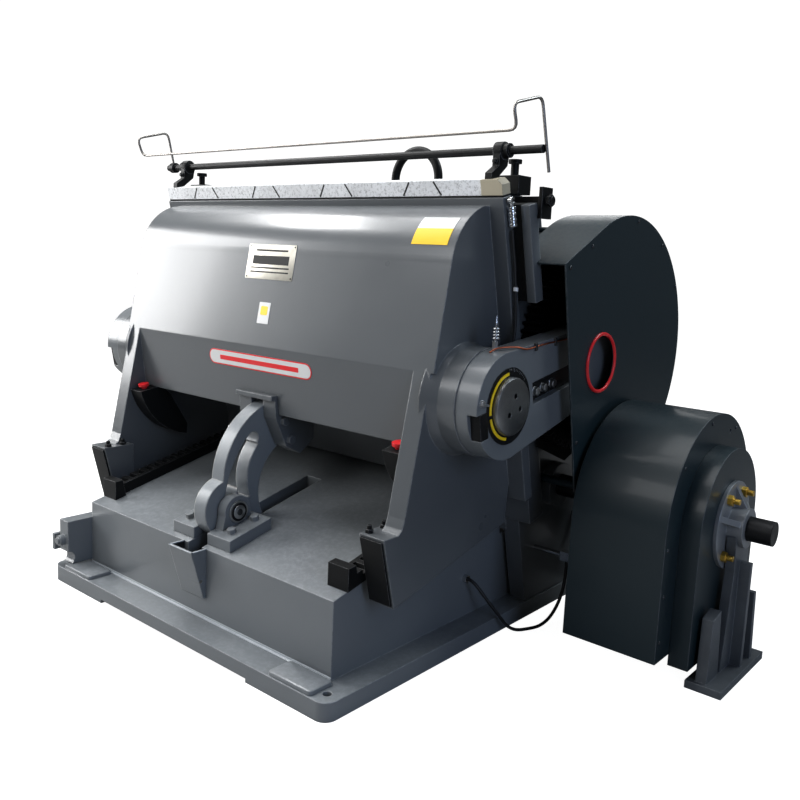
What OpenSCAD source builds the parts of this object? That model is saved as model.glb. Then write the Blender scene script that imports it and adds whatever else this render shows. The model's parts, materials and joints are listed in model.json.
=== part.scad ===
// Platen die cutting and creasing press: a rocking platen closes against a leaning bed,
// drawn shut by two side arms from crank gears, and steered by a cam arm on a roller.
// X runs across the press, Y runs from the operator to the back, Z is up. Distances
// named "..._in" are measured from the front edge of the base, "..._h" from the floor.

/* [Base] */
// Width of the base flange
base_w = 1440; // [1380:10:1600]
// Depth of the base flange
base_d = 1500; // [1480:10:1700]
// Thickness of the base flange
flange_t = 56; // [45:1:60]
// Corner radius of the base flange
corner_r = 40; // [20:5:80]
// Width of the raised step under the platen
step_w = 1264; // [1200:4:1280]
// Distance from the base's front edge to the step
step_in = 108; // [100:1:125]
// Height of the step at its front edge
step_h = 290; // [270:1:300]
// Wall thickness of the base casting
base_wall = 40; // [25:1:60]
// Height of the rear part of the base casting
rear_h = 300; // [270:5:320]

/* [Bed] */
// Lean of the bed and slope of the step, in degrees
lean = 14; // [12:0.5:15]
// Distance from the base's front edge to the bed face at floor level
bed_in = 1010; // [1000:1:1020]
// Length of the bed face up the slope, from floor level
bed_len = 1487; // [1450:1:1520]
// Width of the bed plate
bed_w = 1520; // [1440:10:1530]
// Thickness of the bed plate
bed_t = 85; // [60:1:120]
// Outside width of the frame's side walls
frame_w = 1424; // [1380:4:1430]
// Thickness of the frame's side walls
frame_wall = 62; // [40:1:70]
// Depth of the frame at its top
frame_top_d = 272; // [220:1:300]

/* [Chase] */
// Width of the chase
chase_w = 1400; // [1200:10:1450]
// Thickness of the chase
chase_t = 38; // [20:1:42]
// Width of the chase's bars
chase_bar = 45; // [30:1:70]

/* [Platen] */
// Width of the platen plate
platen_w = 1616; // [1560:4:1630]
// Thickness of the platen plate
platen_t = 40; // [30:1:50]
// Thickness of the steel cutting plate on the platen
cutting_t = 8; // [4:1:12]
// Gap between the cutting plate and the chase when shut
strike_gap = 4; // [3:0.5:8]
// Width of the curved shell
shell_w = 1516; // [1480:4:1540]
// Wall thickness of the shell
shell_t = 25; // [15:1:35]
// Rounding radius of the shell's shoulder
shoulder_r = 200; // [180:1:210]
// Outside width over the side cheeks
cheek_w = 1496; // [1480:4:1500]
// Thickness of the side cheeks
cheek_t = 64; // [50:1:66]
// Height of the rocking axis
rock_h = 380; // [376:1:390]
// Distance from the base's front edge to the rocking axis
rock_in = 569; // [560:1:575]
// Opening angle of the platen, in degrees
open_angle = 40; // [30:1:40]

/* [Cam arm] */
// Thickness of the cam arm
arm_t = 60; // [40:2:64]
// Outer radius of the cam arm's back
arm_r = 265; // [255:1:270]
// Radius of the hub round the roller
hub_r = 98; // [85:1:104]
// Height of the roller pin
pin_h = 396; // [390:1:402]
// Distance from the base's front edge to the roller pin
pin_in = 222; // [218:1:226]
// Radius of the roller
roller_r = 22; // [18:0.5:24]
// Radius of the roller pin
pin_r = 14; // [8:0.5:15]
// Clearance of the roller in the slot
slot_play = 1; // [0.5:0.1:2]

/* [Side arms] */
// Height of the platen bosses
boss_h = 842; // [836:1:850]
// Distance from the base's front edge to the platen bosses
boss_in = 500; // [494:1:506]
// Radius of the platen bosses
boss_r = 158; // [140:1:165]
// Inside distance between the side arms
arm_span = 1676; // [1672:2:1690]
// Thickness of a side arm
side_t = 73; // [60:1:76]
// Radius of a side arm's front end
end_r = 155; // [140:1:160]
// Radius of a side arm's rear eye
eye_r = 105; // [90:1:115]
// Radius of the eccentric pin
eccentric_r = 92; // [80:1:96]
// Radius of the crank pin
crank_r = 45; // [35:1:55]

/* [Crank gears] */
// Height of the crank gears
gear_h = 955; // [945:1:965]
// Distance from the base's front edge to the crank gears
gear_in = 1098; // [1090:1:1106]
// Throw of the cranks
throw = 155; // [140:1:160]
// Module of the gear teeth
tooth_m = 8; // [8:1:8]
// Teeth of a crank gear
gear_teeth = 82; // [80:1:84]
// Teeth of a crank pinion
pinion_teeth = 14; // [14:1:16]
// Teeth of the reduction gear inside the frame
reduction_teeth = 50; // [48:1:52]
// Teeth of the drive pinion
drive_teeth = 25; // [23:1:27]
// Face width of the gears
gear_t = 60; // [40:1:60]
// Radius of the fixed stub shafts
stub_r = 55; // [40:1:60]

/* [Drive] */
// Height of the drive shaft
drive_h = 467; // [460:1:475]
// Distance from the base's front edge to the drive shaft
drive_in = 1127; // [1120:1:1135]
// Radius of the drive shaft
shaft_r = 38; // [30:1:42]
// Radius of the flywheel
wheel_r = 300; // [270:1:310]
// Width of the flywheel's rim
wheel_w = 164; // [150:2:170]
// Radius of the motor pulley
pulley_r = 90; // [75:1:100]
// Height of the motor shaft
motor_h = 210; // [200:1:230]
// Distance from the base's front edge to the motor shaft
motor_in = 1690; // [1680:1:1720]
// Radius of the motor's body
motor_r = 118; // [100:1:125]

/* [Guards] */
// Sheet thickness of the guards
sheet = 5; // [3:0.5:6]
// Radius of the crank gear guards
guard_r = 440; // [430:1:450]
// Width of a crank gear guard
guard_w = 197; // [194:1:204]
// Radius of the flywheel guard
wheel_guard_r = 338; // [328:1:345]
// Width of the flywheel guard
wheel_guard_w = 303; // [290:1:310]
// Radius of the clutch cover
cover_r = 238; // [220:1:250]
// Width of the clutch cover
cover_w = 62; // [50:1:80]

/* [Safety bar] */
// Height of the safety bar's shaft
bar_h = 1562; // [1550:1:1575]
// Distance from the base's front edge to the safety bar's shaft
bar_in = 617; // [610:1:622]
// Radius of the safety bar's shaft
bar_r = 12; // [8:0.5:14]
// Radius of the safety wire
wire_r = 4.5; // [3:0.5:6]

/* [Fits] */
// Running clearance between a pin and its bore
run = 0.05; // [0.03:0.01:0.08]
// Gap between flat faces that slide past each other
slip = 0.3; // [0.2:0.1:0.5]

/* [Hidden] */
$fn = 64;
E = 0.01;
BIG = 4000;
GREY = "#62666b";
DARK = "#26302f";
BLACK = "#1b1c1e";
STEEL = "#b9bcbf";
SLOPE = tan(lean);

function yf(d) = d - base_d / 2;
function pt(d, h) = [yf(d), h];
function polar(r, a) = [r * cos(a), r * sin(a)];
function ramp(d) = step_h + (d - step_in) * SLOPE;
function bed_at(h) = bed_in - h * SLOPE;

ROCK = pt(rock_in, rock_h);
PIN = pt(pin_in, pin_h);
BOSS = pt(boss_in, boss_h);
GEAR = pt(gear_in, gear_h);
DRIVE = pt(drive_in, drive_h);
MOTOR = pt(motor_in, motor_h);
BAR = pt(bar_in, bar_h);

// side arm: from the platen boss through the gear's centre to the crank pin
arm_angle = atan2(gear_h - boss_h, gear_in - boss_in);
arm_len = norm(GEAR - BOSS) + throw;
CRANK = BOSS + polar(arm_len, arm_angle);

// gear train: the cross shaft sits where both gear pairs mesh
gear_pr = gear_teeth * tooth_m / 2;
pinion_pr = pinion_teeth * tooth_m / 2;
reduction_pr = reduction_teeth * tooth_m / 2;
drive_pr = drive_teeth * tooth_m / 2;
train_d = norm(DRIVE - GEAR);
pair_a = gear_pr + pinion_pr;
pair_b = reduction_pr + drive_pr;
train_a = (pair_a * pair_a - pair_b * pair_b + train_d * train_d) / (2 * train_d);
train_dir = atan2(DRIVE[1] - GEAR[1], DRIVE[0] - GEAR[0]);
CROSS = GEAR + polar(pair_a, train_dir + acos(train_a / pair_a));
pair_a_dir = train_dir + acos(train_a / pair_a);
pair_b_dir = atan2(CROSS[1] - DRIVE[1], CROSS[0] - DRIVE[0]);

// stations along X on the right side
frame_x = frame_w / 2;
gear_x = arm_span / 2 - gear_t - 10;
arm_x = arm_span / 2;
arm_out = arm_x + side_t;
guard_x = bed_w / 2 + 3;
guard_out = guard_x + guard_w;
wheel_guard_x = guard_out + 20;
wheel_guard_out = wheel_guard_x + wheel_guard_w;
cover_out = wheel_guard_out + cover_w;
wheel_x = wheel_guard_x + 35;
spider_t = 12;
hub_out = cover_out + 60;
shaft_out = hub_out + 75;

// platen stations, measured square to the bed face
plate_face = chase_t + strike_gap;
plate_back = plate_face + cutting_t;
plate_front = plate_back + platen_t;
plate_low = 520;
plate_top = 1490;

module along_x(x0, x1) {
    translate([x0, 0, 0]) rotate([90, 0, 90]) linear_extrude(x1 - x0) children();
}

module rod(p, x0, x1, r) {
    translate([x0, p[0], p[1]]) rotate([0, 90, 0]) cylinder(h = x1 - x0, r = r);
}

module both_sides() {
    children();
    mirror([1, 0, 0]) children();
}

// frame of the leaning bed: local Y points into the bed, local Z runs up its face
module on_bed() {
    translate([0, yf(bed_in), 0]) rotate([lean, 0, 0]) children();
}

module box(x0, x1, y0, y1, z0, z1) {
    translate([x0, y0, z0]) cube([x1 - x0, y1 - y0, z1 - z0]);
}

// ---------- base ----------
anchor_r = 13;
base_rib = 30;
slot_half = 36;
slot_far = 640;
pocket_half = 60;
pocket_out = 60;
pocket_low = 126;
recess_half = 390;

module flange() {
    w = base_w / 2 - corner_r;
    d = base_d / 2 - corner_r;
    linear_extrude(flange_t) {
        square([2 * w, base_d], center = true);
        square([base_w, 2 * d], center = true);
        for (x = [-w, w], y = [-d, d]) translate([x, y]) circle(corner_r);
    }
}

module step_profile(t, low) {
    face_d = bed_at(rear_h);
    meet_d = (bed_in + (step_in * SLOPE - step_h) * SLOPE) / (1 + SLOPE * SLOPE);
    polygon([
        pt(step_in + t, low), pt(step_in + t, ramp(step_in + t) - t * 1.1),
        pt(meet_d - t, ramp(meet_d - t) - t * 1.1),
        pt(face_d - t, rear_h - t), pt(base_d - 60 - t, rear_h - t), pt(base_d - 60 - t, low)
    ]);
}

module base_casting() color(GREY) {
    bay = (step_w - 2 * base_wall - 4 * base_rib) / 5;
    difference() {
        union() {
            flange();
            along_x(-step_w / 2, step_w / 2) step_profile(0, flange_t - E);
            for (x = [-1, 1]) {
                w = base_w / 2 - corner_r;
                translate([x * (w - 124), -base_d / 2 + 52, flange_t - E])
                    cube([150, 84, 12 + 2 * E], center = true);
            }
        }
        for (i = [-2 : 2]) {
            x = i * (bay + base_rib);
            along_x(x - bay / 2, x + bay / 2) step_profile(base_wall, -E);
        }
        box(-recess_half, recess_half, -BIG, yf(step_in + base_wall) + E, -E, 12);
        box(-slot_half, slot_half, yf(step_in) - 1, yf(slot_far), pocket_low + 30, BIG);
        for (x = [-1, 1], y = [-1, 1])
            translate([x * (base_w / 2 - corner_r - 5), y * (base_d / 2 - 50), -1])
                cylinder(h = flange_t + 20, r = anchor_r);
    }
}

module pocket_wedge(t) {
    back = step_in + (t > 0 ? 1 : 0);
    polygon([
        pt(back, ramp(step_in) + t * 5), pt(step_in - pocket_out + t, ramp(step_in) + t * 5),
        pt(step_in - 10 + t, pocket_low + t), pt(back, pocket_low + t)
    ]);
}

module arm_pocket() color(GREY) difference() {
    along_x(-pocket_half, pocket_half) pocket_wedge(0);
    along_x(-pocket_half + sheet, pocket_half - sheet) pocket_wedge(sheet);
    rod(pt(step_in - 20, pocket_low + 60), 0, BIG, 6);
}

rail_x = 575;
rail_w = 62;
rail_in = 190;
rail_far = 730;
rail_t = 40;
rail_pitch = 36;

module track_racks() color(BLACK) both_sides() difference() {
    union() {
        along_x(rail_x, rail_x + rail_w) polygon([
            pt(rail_in, ramp(rail_in)), pt(rail_in, ramp(rail_in) + rail_t),
            pt(rail_far, ramp(rail_far) + rail_t), pt(rail_far, ramp(rail_far))
        ]);
        along_x(rail_x - 20, rail_x + rail_w) polygon([
            pt(rail_in - 30, ramp(rail_in - 30)), pt(rail_in - 30, ramp(rail_in) + 62),
            pt(rail_in, ramp(rail_in) + 66), pt(rail_in + 14, ramp(rail_in + 14))
        ]);
    }
    for (d = [rail_in + 30 : rail_pitch : rail_far - 20])
        along_x(rail_x + 14, rail_x + rail_w + 1) polygon([
            pt(d, ramp(d) + rail_t - 14), pt(d - 4, ramp(d) + rail_t + 10),
            pt(d + 20, ramp(d) + rail_t + 20), pt(d + 16, ramp(d) + rail_t - 10)
        ]);
}

block_x = arm_t / 2 + 6;
block_t = 38;
pad_x = 150;

module roller_blocks() color(GREY) both_sides() {
    difference() {
        union() {
            rod(PIN, block_x, block_x + block_t, 52);
            along_x(block_x, block_x + block_t) polygon([
                pt(pin_in - 70, ramp(pin_in - 70)), PIN + [-51, -10], PIN + [51, -10],
                pt(pin_in + 80, ramp(pin_in + 80))
            ]);
            along_x(block_x, pad_x) polygon([
                pt(pin_in - 92, ramp(pin_in - 92)), pt(pin_in - 92, ramp(pin_in - 92) + 38),
                pt(pin_in + 78, ramp(pin_in + 78) + 38), pt(pin_in + 78, ramp(pin_in + 78))
            ]);
        }
        rod(PIN, 0, BIG, pin_r);
    }
    for (d = [-52, 42])
        translate([pad_x - 40, yf(pin_in + d), ramp(pin_in + d) + 38]) rotate([lean, 0, 0])
            cylinder(h = 16, r = 15, $fn = 6);
}

module roller_pin() color(STEEL) {
    rod(PIN, -block_x - block_t, block_x + block_t, pin_r);
    both_sides() difference() {
        rod(PIN, block_x + block_t, block_x + block_t + 6, 37);
        for (a = [20 : 90 : 290])
            rod(PIN + polar(26, a), block_x + block_t + 3, BIG, 5);
    }
}

module cam_roller() color(STEEL) difference() {
    rod(PIN, -arm_t / 2 + 2, arm_t / 2 - 2, roller_r);
    rod(PIN, -BIG / 2, BIG / 2, pin_r + run);
}

// ---------- frame and bed ----------
module frame_profile() {
    polygon([
        pt(bed_at(flange_t) + 4, flange_t), pt(bed_at(top_h + 20) + 4, top_h + 20),
        pt(bed_at(top_h + 20) + frame_top_d, top_h + 20),
        pt(bed_at(1175) + frame_top_d, 1175), pt(gear_in + 110, 1090),
        pt(base_d - 50, 780), pt(base_d - 50, flange_t)
    ]);
}

top_h = bed_len * cos(lean);

module bed_frame() color(GREY) {
    inner = frame_x - frame_wall;
    difference() {
        union() {
            both_sides() along_x(inner, frame_x) frame_profile();
            on_bed() box(-bed_w / 2, bed_w / 2, 0.1, bed_t, rear_h / cos(lean) + 70, bed_len + 40);
            on_bed() box(-inner - 9, inner + 9, 0.1, bed_t, rear_h / cos(lean) + 22, rear_h / cos(lean) + 71);
            // ribs behind the bed, top beam and rear tie
            for (x = [-0.5, 0, 0.5]) along_x(x * inner - 15, x * inner + 15) polygon([
                pt(bed_at(rear_h) + bed_t, rear_h), pt(bed_at(1440) + bed_t, 1440),
                pt(bed_at(1440) + frame_top_d - 30, 1440), pt(bed_at(900) + bed_t + 60, 900),
                pt(bed_at(rear_h) + bed_t + 60, rear_h)
            ]);
            box(-inner - 9, inner + 9, yf(bed_at(top_h) + 40),
                yf(bed_at(top_h) + frame_top_d - 20), top_h - 40, top_h + 9);
            box(-inner - 9, inner + 9, yf(base_d - 130), yf(base_d - 70), rear_h, rear_h + 120);
            both_sides() {
                rod(GEAR, inner - 20, frame_x + 50, stub_r + 45);
                rod(CROSS, inner - 20, frame_x + 40, 75);
                rod(DRIVE, inner - 20, frame_x + 40, 78);
            }
        }
        both_sides() rod(GEAR, 0, BIG, stub_r);
        box(-BIG, BIG, -BIG, BIG, top_h, BIG);
        rod(CROSS, -BIG / 2, BIG / 2, shaft_r + run);
        rod(DRIVE, -BIG / 2, BIG / 2, shaft_r + run);
        // the reduction gears turn inside the frame
        rod(CROSS, red_x - 12, red_x + gear_t + 12, reduction_pr + 20);
        rod(DRIVE, red_x - 12, red_x + gear_t + 12, drive_pr + 20);
    }
}

red_x = 470;

module gear_stubs() color(STEEL) both_sides() {
    rod(GEAR, frame_x - frame_wall - 20, gear_x + gear_t, stub_r);
    rod(GEAR, gear_x + gear_t + slip, gear_x + gear_t + 6, stub_r + 22);
    rod(GEAR, gear_x + gear_t - E, gear_x + gear_t + slip + E, stub_r - 10);
}

module chase_frame() color("#4a4d50") on_bed() {
    low = plate_low + 40;
    top = plate_top - 16;
    difference() {
        box(-chase_w / 2, chase_w / 2, -chase_t, 0, low, top);
        box(-chase_w / 2 + chase_bar, chase_w / 2 - chase_bar, -BIG, BIG, low + chase_bar, top - chase_bar);
    }
}

module chase_clamps() color(BLACK) both_sides() {
    top = top_h;
    x = bed_w / 2 - 60;
    box(x, x + 96, yf(bed_at(top) + 8), yf(bed_at(top) + 74), top, top + 54);
    translate([x + 60, yf(bed_at(top) + 38), top + 54]) {
        cylinder(h = 36, r = 12);
        translate([0, 0, 36]) cylinder(h = 12, r = 20);
    }
}

module lifting_ring() color(BLACK) {
    top = top_h;
    translate([340, yf(bed_at(top) + 90), 0]) {
        for (x = [-92, 92]) translate([x, 0, top]) cylinder(h = 60, r = 14);
        translate([0, 0, top + 60]) rotate([90, 0, 0]) rotate_extrude(angle = 180)
            translate([92, 0]) circle(14);
        for (x = [-92, 92]) translate([x, 0, top]) cylinder(h = 10, r = 28);
    }
}

module switch_bracket() color(BLACK) {
    x = bed_w / 2;
    box(x, x + 118, yf(676), yf(700), 1380, 1436);
    box(x + 106, x + 118, yf(660), yf(716), 1372, 1462);
    rod(pt(688, 1424), x + 118, x + 138, 12);
    translate([x + 124, yf(688), 1424]) rotate([0, 90, 0]) cylinder(h = 10, r = 19, $fn = 6);
}

// ---------- gears ----------
function involute(rb, a) = [
    rb * (cos(a) + a * PI / 180 * sin(a)), rb * (sin(a) - a * PI / 180 * cos(a))
];
function turn(p, a) = [p[0] * cos(a) - p[1] * sin(a), p[0] * sin(a) + p[1] * cos(a)];
pressure = 20;
backlash = 1.2;

// one tooth flank from root to tip, then its mirror image
function flank(z, rb, r) = let (
        a = acos(min(1, rb / r)),
        roll = tan(a) * 180 / PI,
        lead = tan(pressure) * 180 / PI - pressure,
        half = 90 / z - backlash / (z * tooth_m) * 90 / PI
    ) turn(involute(rb, roll), -half - lead);
function tooth(z, i) = let (
        pr = z * tooth_m / 2,
        rb = pr * cos(pressure),
        tip = pr + tooth_m,
        low = max(rb, pr - tooth_m),
        root = pr - 1.25 * tooth_m,
        right = [for (k = [0 : 3]) flank(z, rb, low + (tip - low) * k / 3)],
        first = polar(root, atan2(right[0][1], right[0][0])),
        all = concat([first], right, [for (k = [3 : -1 : 0]) [right[k][0], -right[k][1]]],
            [[first[0], -first[1]]])
    ) [for (p = all) turn(p, 360 * i / z)];

module gear_2d(z, phase) {
    rotate(phase) polygon([for (i = [0 : z - 1]) each tooth(z, i)]);
}

// a gap of the followed gear faces a tooth of this one along the line of centres
function mesh_phase(z, dir) = dir + 180 + 180 / z;

module gear_body(p, z, phase, x0, bore, rim, web) {
    pr = z * tooth_m / 2;
    difference() {
        translate([0, p[0], p[1]]) along_x(x0, x0 + gear_t) gear_2d(z, phase);
        rod(p, x0 - 1, x0 + gear_t + 1, bore);
        if (web) translate([0, p[0], p[1]]) for (x = [x0 - 1, x0 + gear_t - 12])
            along_x(x, x + 13) difference() {
                circle(pr - rim);
                circle(bore + 40);
            }
    }
}

module bull_gear(side) {
    mirror([side < 0 ? 1 : 0, 0, 0]) difference() {
        union() {
            gear_body(GEAR, gear_teeth, pair_a_dir, gear_x, stub_r + run, 45, true);
            rod(CRANK, gear_x + 12, arm_x - slip, crank_r + 32);
        }
        rod(GEAR, gear_x - 1, arm_x, stub_r + run);
        rod(GEAR, gear_x + gear_t, arm_x + 1, stub_r + 22 + 1);
        for (a = [70, 130, 190, 250, 310])
            rod(GEAR + polar(195, a + arm_angle), gear_x - 1, gear_x + gear_t + 1, 62);
    }
}

module bull_gear_right() color("#3c4043") bull_gear(1);
module bull_gear_left() color("#3c4043") bull_gear(-1);

module cross_shaft() color("#55585b") {
    rod(CROSS, -gear_x - gear_t, gear_x + gear_t, shaft_r);
    both_sides() gear_body(CROSS, pinion_teeth, mesh_phase(pinion_teeth, pair_a_dir), gear_x,
        shaft_r, 0, false);
    gear_body(CROSS, reduction_teeth, pair_b_dir + 180, red_x, shaft_r, 30, true);
}

module drive_shaft() color("#55585b") {
    rod(DRIVE, -frame_x - 60, shaft_out, shaft_r);
    gear_body(DRIVE, drive_teeth, mesh_phase(drive_teeth, pair_b_dir + 180), red_x, shaft_r, 0, false);
    rod(DRIVE, -frame_x - 60, -frame_x - 44, shaft_r + 12);
}

// ---------- flywheel, motor and belts ----------
belts = 4;
// straight runs end a little inside the arcs they meet, so that the two cross cleanly
blend = 3;
inset = 0.997;
// clearance of a belt from the bottom of its groove
belt_play = 1.5;
belt_w = 20;
belt_t = 12;
belt_gap = (wheel_w - belts * belt_w) / (belts + 1);
function belt_x(i) = wheel_x + belt_gap + i * (belt_w + belt_gap);

module groove_rims(r) {
    for (i = [0 : belts - 1])
        translate([belt_x(i) - 0.5, 0, 0]) rotate([0, 90, 0]) difference() {
            cylinder(h = belt_w + 1, r = r + 5);
            translate([0, 0, -1]) cylinder(h = belt_w + 3, r = r - belt_t - belt_play);
        }
}

module flywheel() color("#3a3d40") translate([0, DRIVE[0], DRIVE[1]]) difference() {
    translate([wheel_x, 0, 0]) rotate([0, 90, 0]) cylinder(h = wheel_w, r = wheel_r);
    rod([0, 0], 0, BIG, shaft_r + run);
    groove_rims(wheel_r);
}

module motor_pulley() color("#3a3d40") translate([0, MOTOR[0], MOTOR[1]]) difference() {
    translate([wheel_x, 0, 0]) rotate([0, 90, 0]) cylinder(h = wheel_w, r = pulley_r);
    groove_rims(pulley_r);
    rod([0, 0], 0, wheel_x + wheel_w - 20 + slip, 19 + run);
    along_x(wheel_x + wheel_w - 14, BIG) circle(pulley_r - 25);
}

module belt_2d(g) {
    span = MOTOR - DRIVE;
    dir = atan2(span[1], span[0]);
    open = acos((wheel_r - pulley_r) / norm(span));
    wheel = (wheel_r - g) * inset;
    pulley = (pulley_r - g) * inset;
    polygon([
        DRIVE + polar(wheel, dir + open + blend), DRIVE + polar(wheel, dir - open - blend),
        MOTOR + polar(pulley, dir - open + blend), MOTOR + polar(pulley, dir + open - blend)
    ]);
    translate(DRIVE) circle(wheel_r - g);
    translate(MOTOR) circle(pulley_r - g);
}

module drive_belts() color(BLACK)
    for (i = [0 : belts - 1]) along_x(belt_x(i), belt_x(i) + belt_w) difference() {
        belt_2d(0);
        belt_2d(belt_t);
    }

motor_len = 330;

module motor() color(GREY) {
    x1 = wheel_x - 30;
    x0 = x1 - motor_len;
    rod(MOTOR, x0 + 70, x1 - 20, motor_r);
    rod(MOTOR, x0, x0 + 70, motor_r - 8);
    rod(MOTOR, x1 - 20, x1, motor_r + 6);
    rod(MOTOR, x1, wheel_x + wheel_w - 20, 19);
    for (a = [0 : 15 : 345]) translate([0, MOTOR[0], MOTOR[1]]) rotate([a, 0, 0])
        box(x0 + 78, x1 - 28, motor_r - 2, motor_r + 9, -2, 2);
    difference() {
        box(x0 + 90, x1 - 40, MOTOR[0] - 105, MOTOR[0] + 105, motor_plate_h, motor_h - 60);
        rod(MOTOR, x0, x1, motor_r - 4);
    }
    box(x0 + 120, x0 + 220, MOTOR[0] - 45, MOTOR[0] + 45, motor_h + motor_r - 6, motor_h + motor_r + 55);
}

motor_plate_h = flange_t + 24;

module motor_bracket() color(GREY) {
    x0 = base_w / 2 - 170;
    x1 = wheel_x - 60;
    box(x0, x1, yf(base_d - 40), yf(motor_in + 140), flange_t, motor_plate_h);
    for (x = [x1 - 60, x0 + 70]) box(x, x + 30, yf(motor_in + 90), yf(motor_in + 120), 0, flange_t);
    box(x1 - 60, x1 - 30, yf(base_d + 30), yf(base_d + 60), 0, flange_t);
}

// ---------- guards ----------
guard_mid = [gear_in, gear_h + 12];
guard_corner = [677, 1246];
guard_low = 540;
guard_front_low = 835;
corner_off = [guard_corner[0] - guard_mid[0], guard_corner[1] - guard_mid[1]];
tangent_a = atan2(corner_off[1], corner_off[0]) - acos(guard_r / norm(corner_off));
skirt_a = -28.3;

module gear_guard_shape(t) {
    mid = pt(guard_mid[0], guard_mid[1]);
    r = guard_r - t;
    low = guard_low - (t > 0 ? 20 : 0);
    skirt = mid + polar(r, skirt_a);
    run_down = (skirt[1] - low) / cos(skirt_a);
    foot = skirt + [sin(skirt_a), -cos(skirt_a)] * run_down;
    n = polar(1, tangent_a);
    along = [n[1], -n[0]];
    corner = mid + polar(r, tangent_a) - along * (sqrt(pow(norm(corner_off), 2) - guard_r * guard_r)
        + (t > 0 ? 60 : 0));
    translate(mid) circle(r);
    polygon([
        corner, mid + polar(r, tangent_a - blend), mid, mid + polar(r, skirt_a + blend), foot,
        pt(guard_front_low - (t > 0 ? 60 : 0), low)
    ]);
}

guard_studs = [[903, 1349], [1376, 575]];
hole_in = 943;
hole_h = 941;
hole_r = 90;

module gear_guard() {
    difference() {
        along_x(guard_x, guard_out) intersection() {
            gear_guard_shape(0);
            polygon([
                pt(guard_corner[0], guard_corner[1]), pt(guard_corner[0], BIG), pt(BIG, BIG),
                pt(BIG, 0), pt(guard_front_low, guard_low)
            ]);
        }
        along_x(guard_x - 1, guard_out - sheet) gear_guard_shape(sheet);
        rod(pt(hole_in, hole_h), 0, BIG, hole_r);
    }
    for (p = guard_studs) rod(pt(p[0], p[1]), frame_x, guard_x + 8, 9);
}

module gear_guard_right() color(DARK) gear_guard();
module gear_guard_left() color(DARK) mirror([1, 0, 0]) gear_guard();

module guard_ring() color("#b02428") translate([guard_out, yf(hole_in), hole_h]) rotate([0, 90, 0])
    rotate_extrude() translate([hole_r + 1, 0]) intersection() {
        circle(6);
        translate([-10, 0]) square(20);
    }

wheel_guard_low = 96;

module arch(r, low) {
    translate(DRIVE) circle(r);
    translate([DRIVE[0] - r, low]) square([2 * r, DRIVE[1] - low]);
}

module flywheel_guard() color(DARK) {
    difference() {
        along_x(wheel_guard_x, wheel_guard_out) arch(wheel_guard_r, wheel_guard_low);
        along_x(wheel_guard_x + sheet, wheel_guard_out - sheet)
            arch(wheel_guard_r - sheet, wheel_guard_low + sheet);
        rod(DRIVE, 0, BIG, shaft_r + 8);
        // belt window at the back
        box(wheel_x - 8, wheel_guard_out - 20, DRIVE[0] + 60, BIG, wheel_guard_low + 25, drive_h + 130);
        rod(DRIVE + polar(wheel_guard_r - 45, 68), wheel_guard_out - 20, BIG, 7);
    }
    for (p = [[-128, 48], [180, -150]])
        rod(DRIVE + p, frame_x, wheel_guard_x + sheet, 14);
}

cover_low = 62;

module clutch_cover() color(DARK) difference() {
    along_x(wheel_guard_out, cover_out) arch(cover_r, cover_low);
    along_x(wheel_guard_out - 1, cover_out - sheet) arch(cover_r - sheet, cover_low + sheet);
    rod(DRIVE, 0, BIG, shaft_r + 8);
}

spider_r = 138;
stud_angles = [59, 125, 228];

module bearing_spider() color("#4b4f52") difference() {
    union() {
        rod(DRIVE, cover_out, cover_out + spider_t, spider_r);
        rod(DRIVE, cover_out, hub_out, 62);
        for (a = [20, 90, 160]) translate([0, DRIVE[0], DRIVE[1]]) rotate([a, 0, 0])
            translate([0, 0, -9]) linear_extrude(18) polygon([
                [cover_out + 4, 50], [cover_out + 4, 126], [cover_out + spider_t, 126],
                [hub_out - 8, 60], [hub_out - 8, 50]
            ]);
    }
    rod(DRIVE, 0, BIG, shaft_r + run);
    for (a = stud_angles) rod(DRIVE + polar(112, a), 0, BIG, 9);
}

module spider_nuts() color("#c9a23a")
    for (a = stud_angles) {
        p = DRIVE + polar(112, a);
        rod(p, cover_out, cover_out + spider_t + 34, 9);
        translate([cover_out + spider_t, p[0], p[1]]) rotate([0, 90, 0]) cylinder(h = 14, r = 17, $fn = 6);
    }

module outboard_stand() color("#4b4f52") {
    x0 = cover_out + spider_t + 4;
    x1 = x0 + 30;
    difference() {
        union() {
            along_x(x0, x1) polygon([
                DRIVE + [-62, -20], DRIVE + [62, -20], pt(drive_in + 58, 300), pt(drive_in + 120, 24),
                pt(drive_in - 90, 24), pt(drive_in - 50, 330)
            ]);
            along_x(x0 - 4, x1 + 34) polygon([
                pt(drive_in - 9, 360), pt(drive_in + 9, 360), pt(drive_in + 9, 24), pt(drive_in - 9, 24)
            ]);
            along_x(x0 - 4, x1 + 34) polygon([
                pt(drive_in + 56, 250), pt(drive_in + 74, 250), pt(drive_in + 96, 24), pt(drive_in + 76, 24)
            ]);
            along_x(x0 - 4, x1) polygon([
                pt(drive_in - 190, 220), pt(drive_in - 130, 235), pt(drive_in - 110, 24),
                pt(drive_in - 200, 24)
            ]);
            box(x0 - 30, x1 + 50, yf(drive_in - 215), yf(drive_in + 160), 0, 24 + E);
        }
        rod(DRIVE, 0, BIG, 62 + slip);
    }
}

// ---------- platen ----------
shell_crease = [346, 927];
shell_knee = [404, 1243];
shell_dir = atan2(shell_knee[1] - shell_crease[1], shell_knee[0] - shell_crease[0]);
shell_top = [548, 1400];
panel_low = [374, 703];

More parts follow.
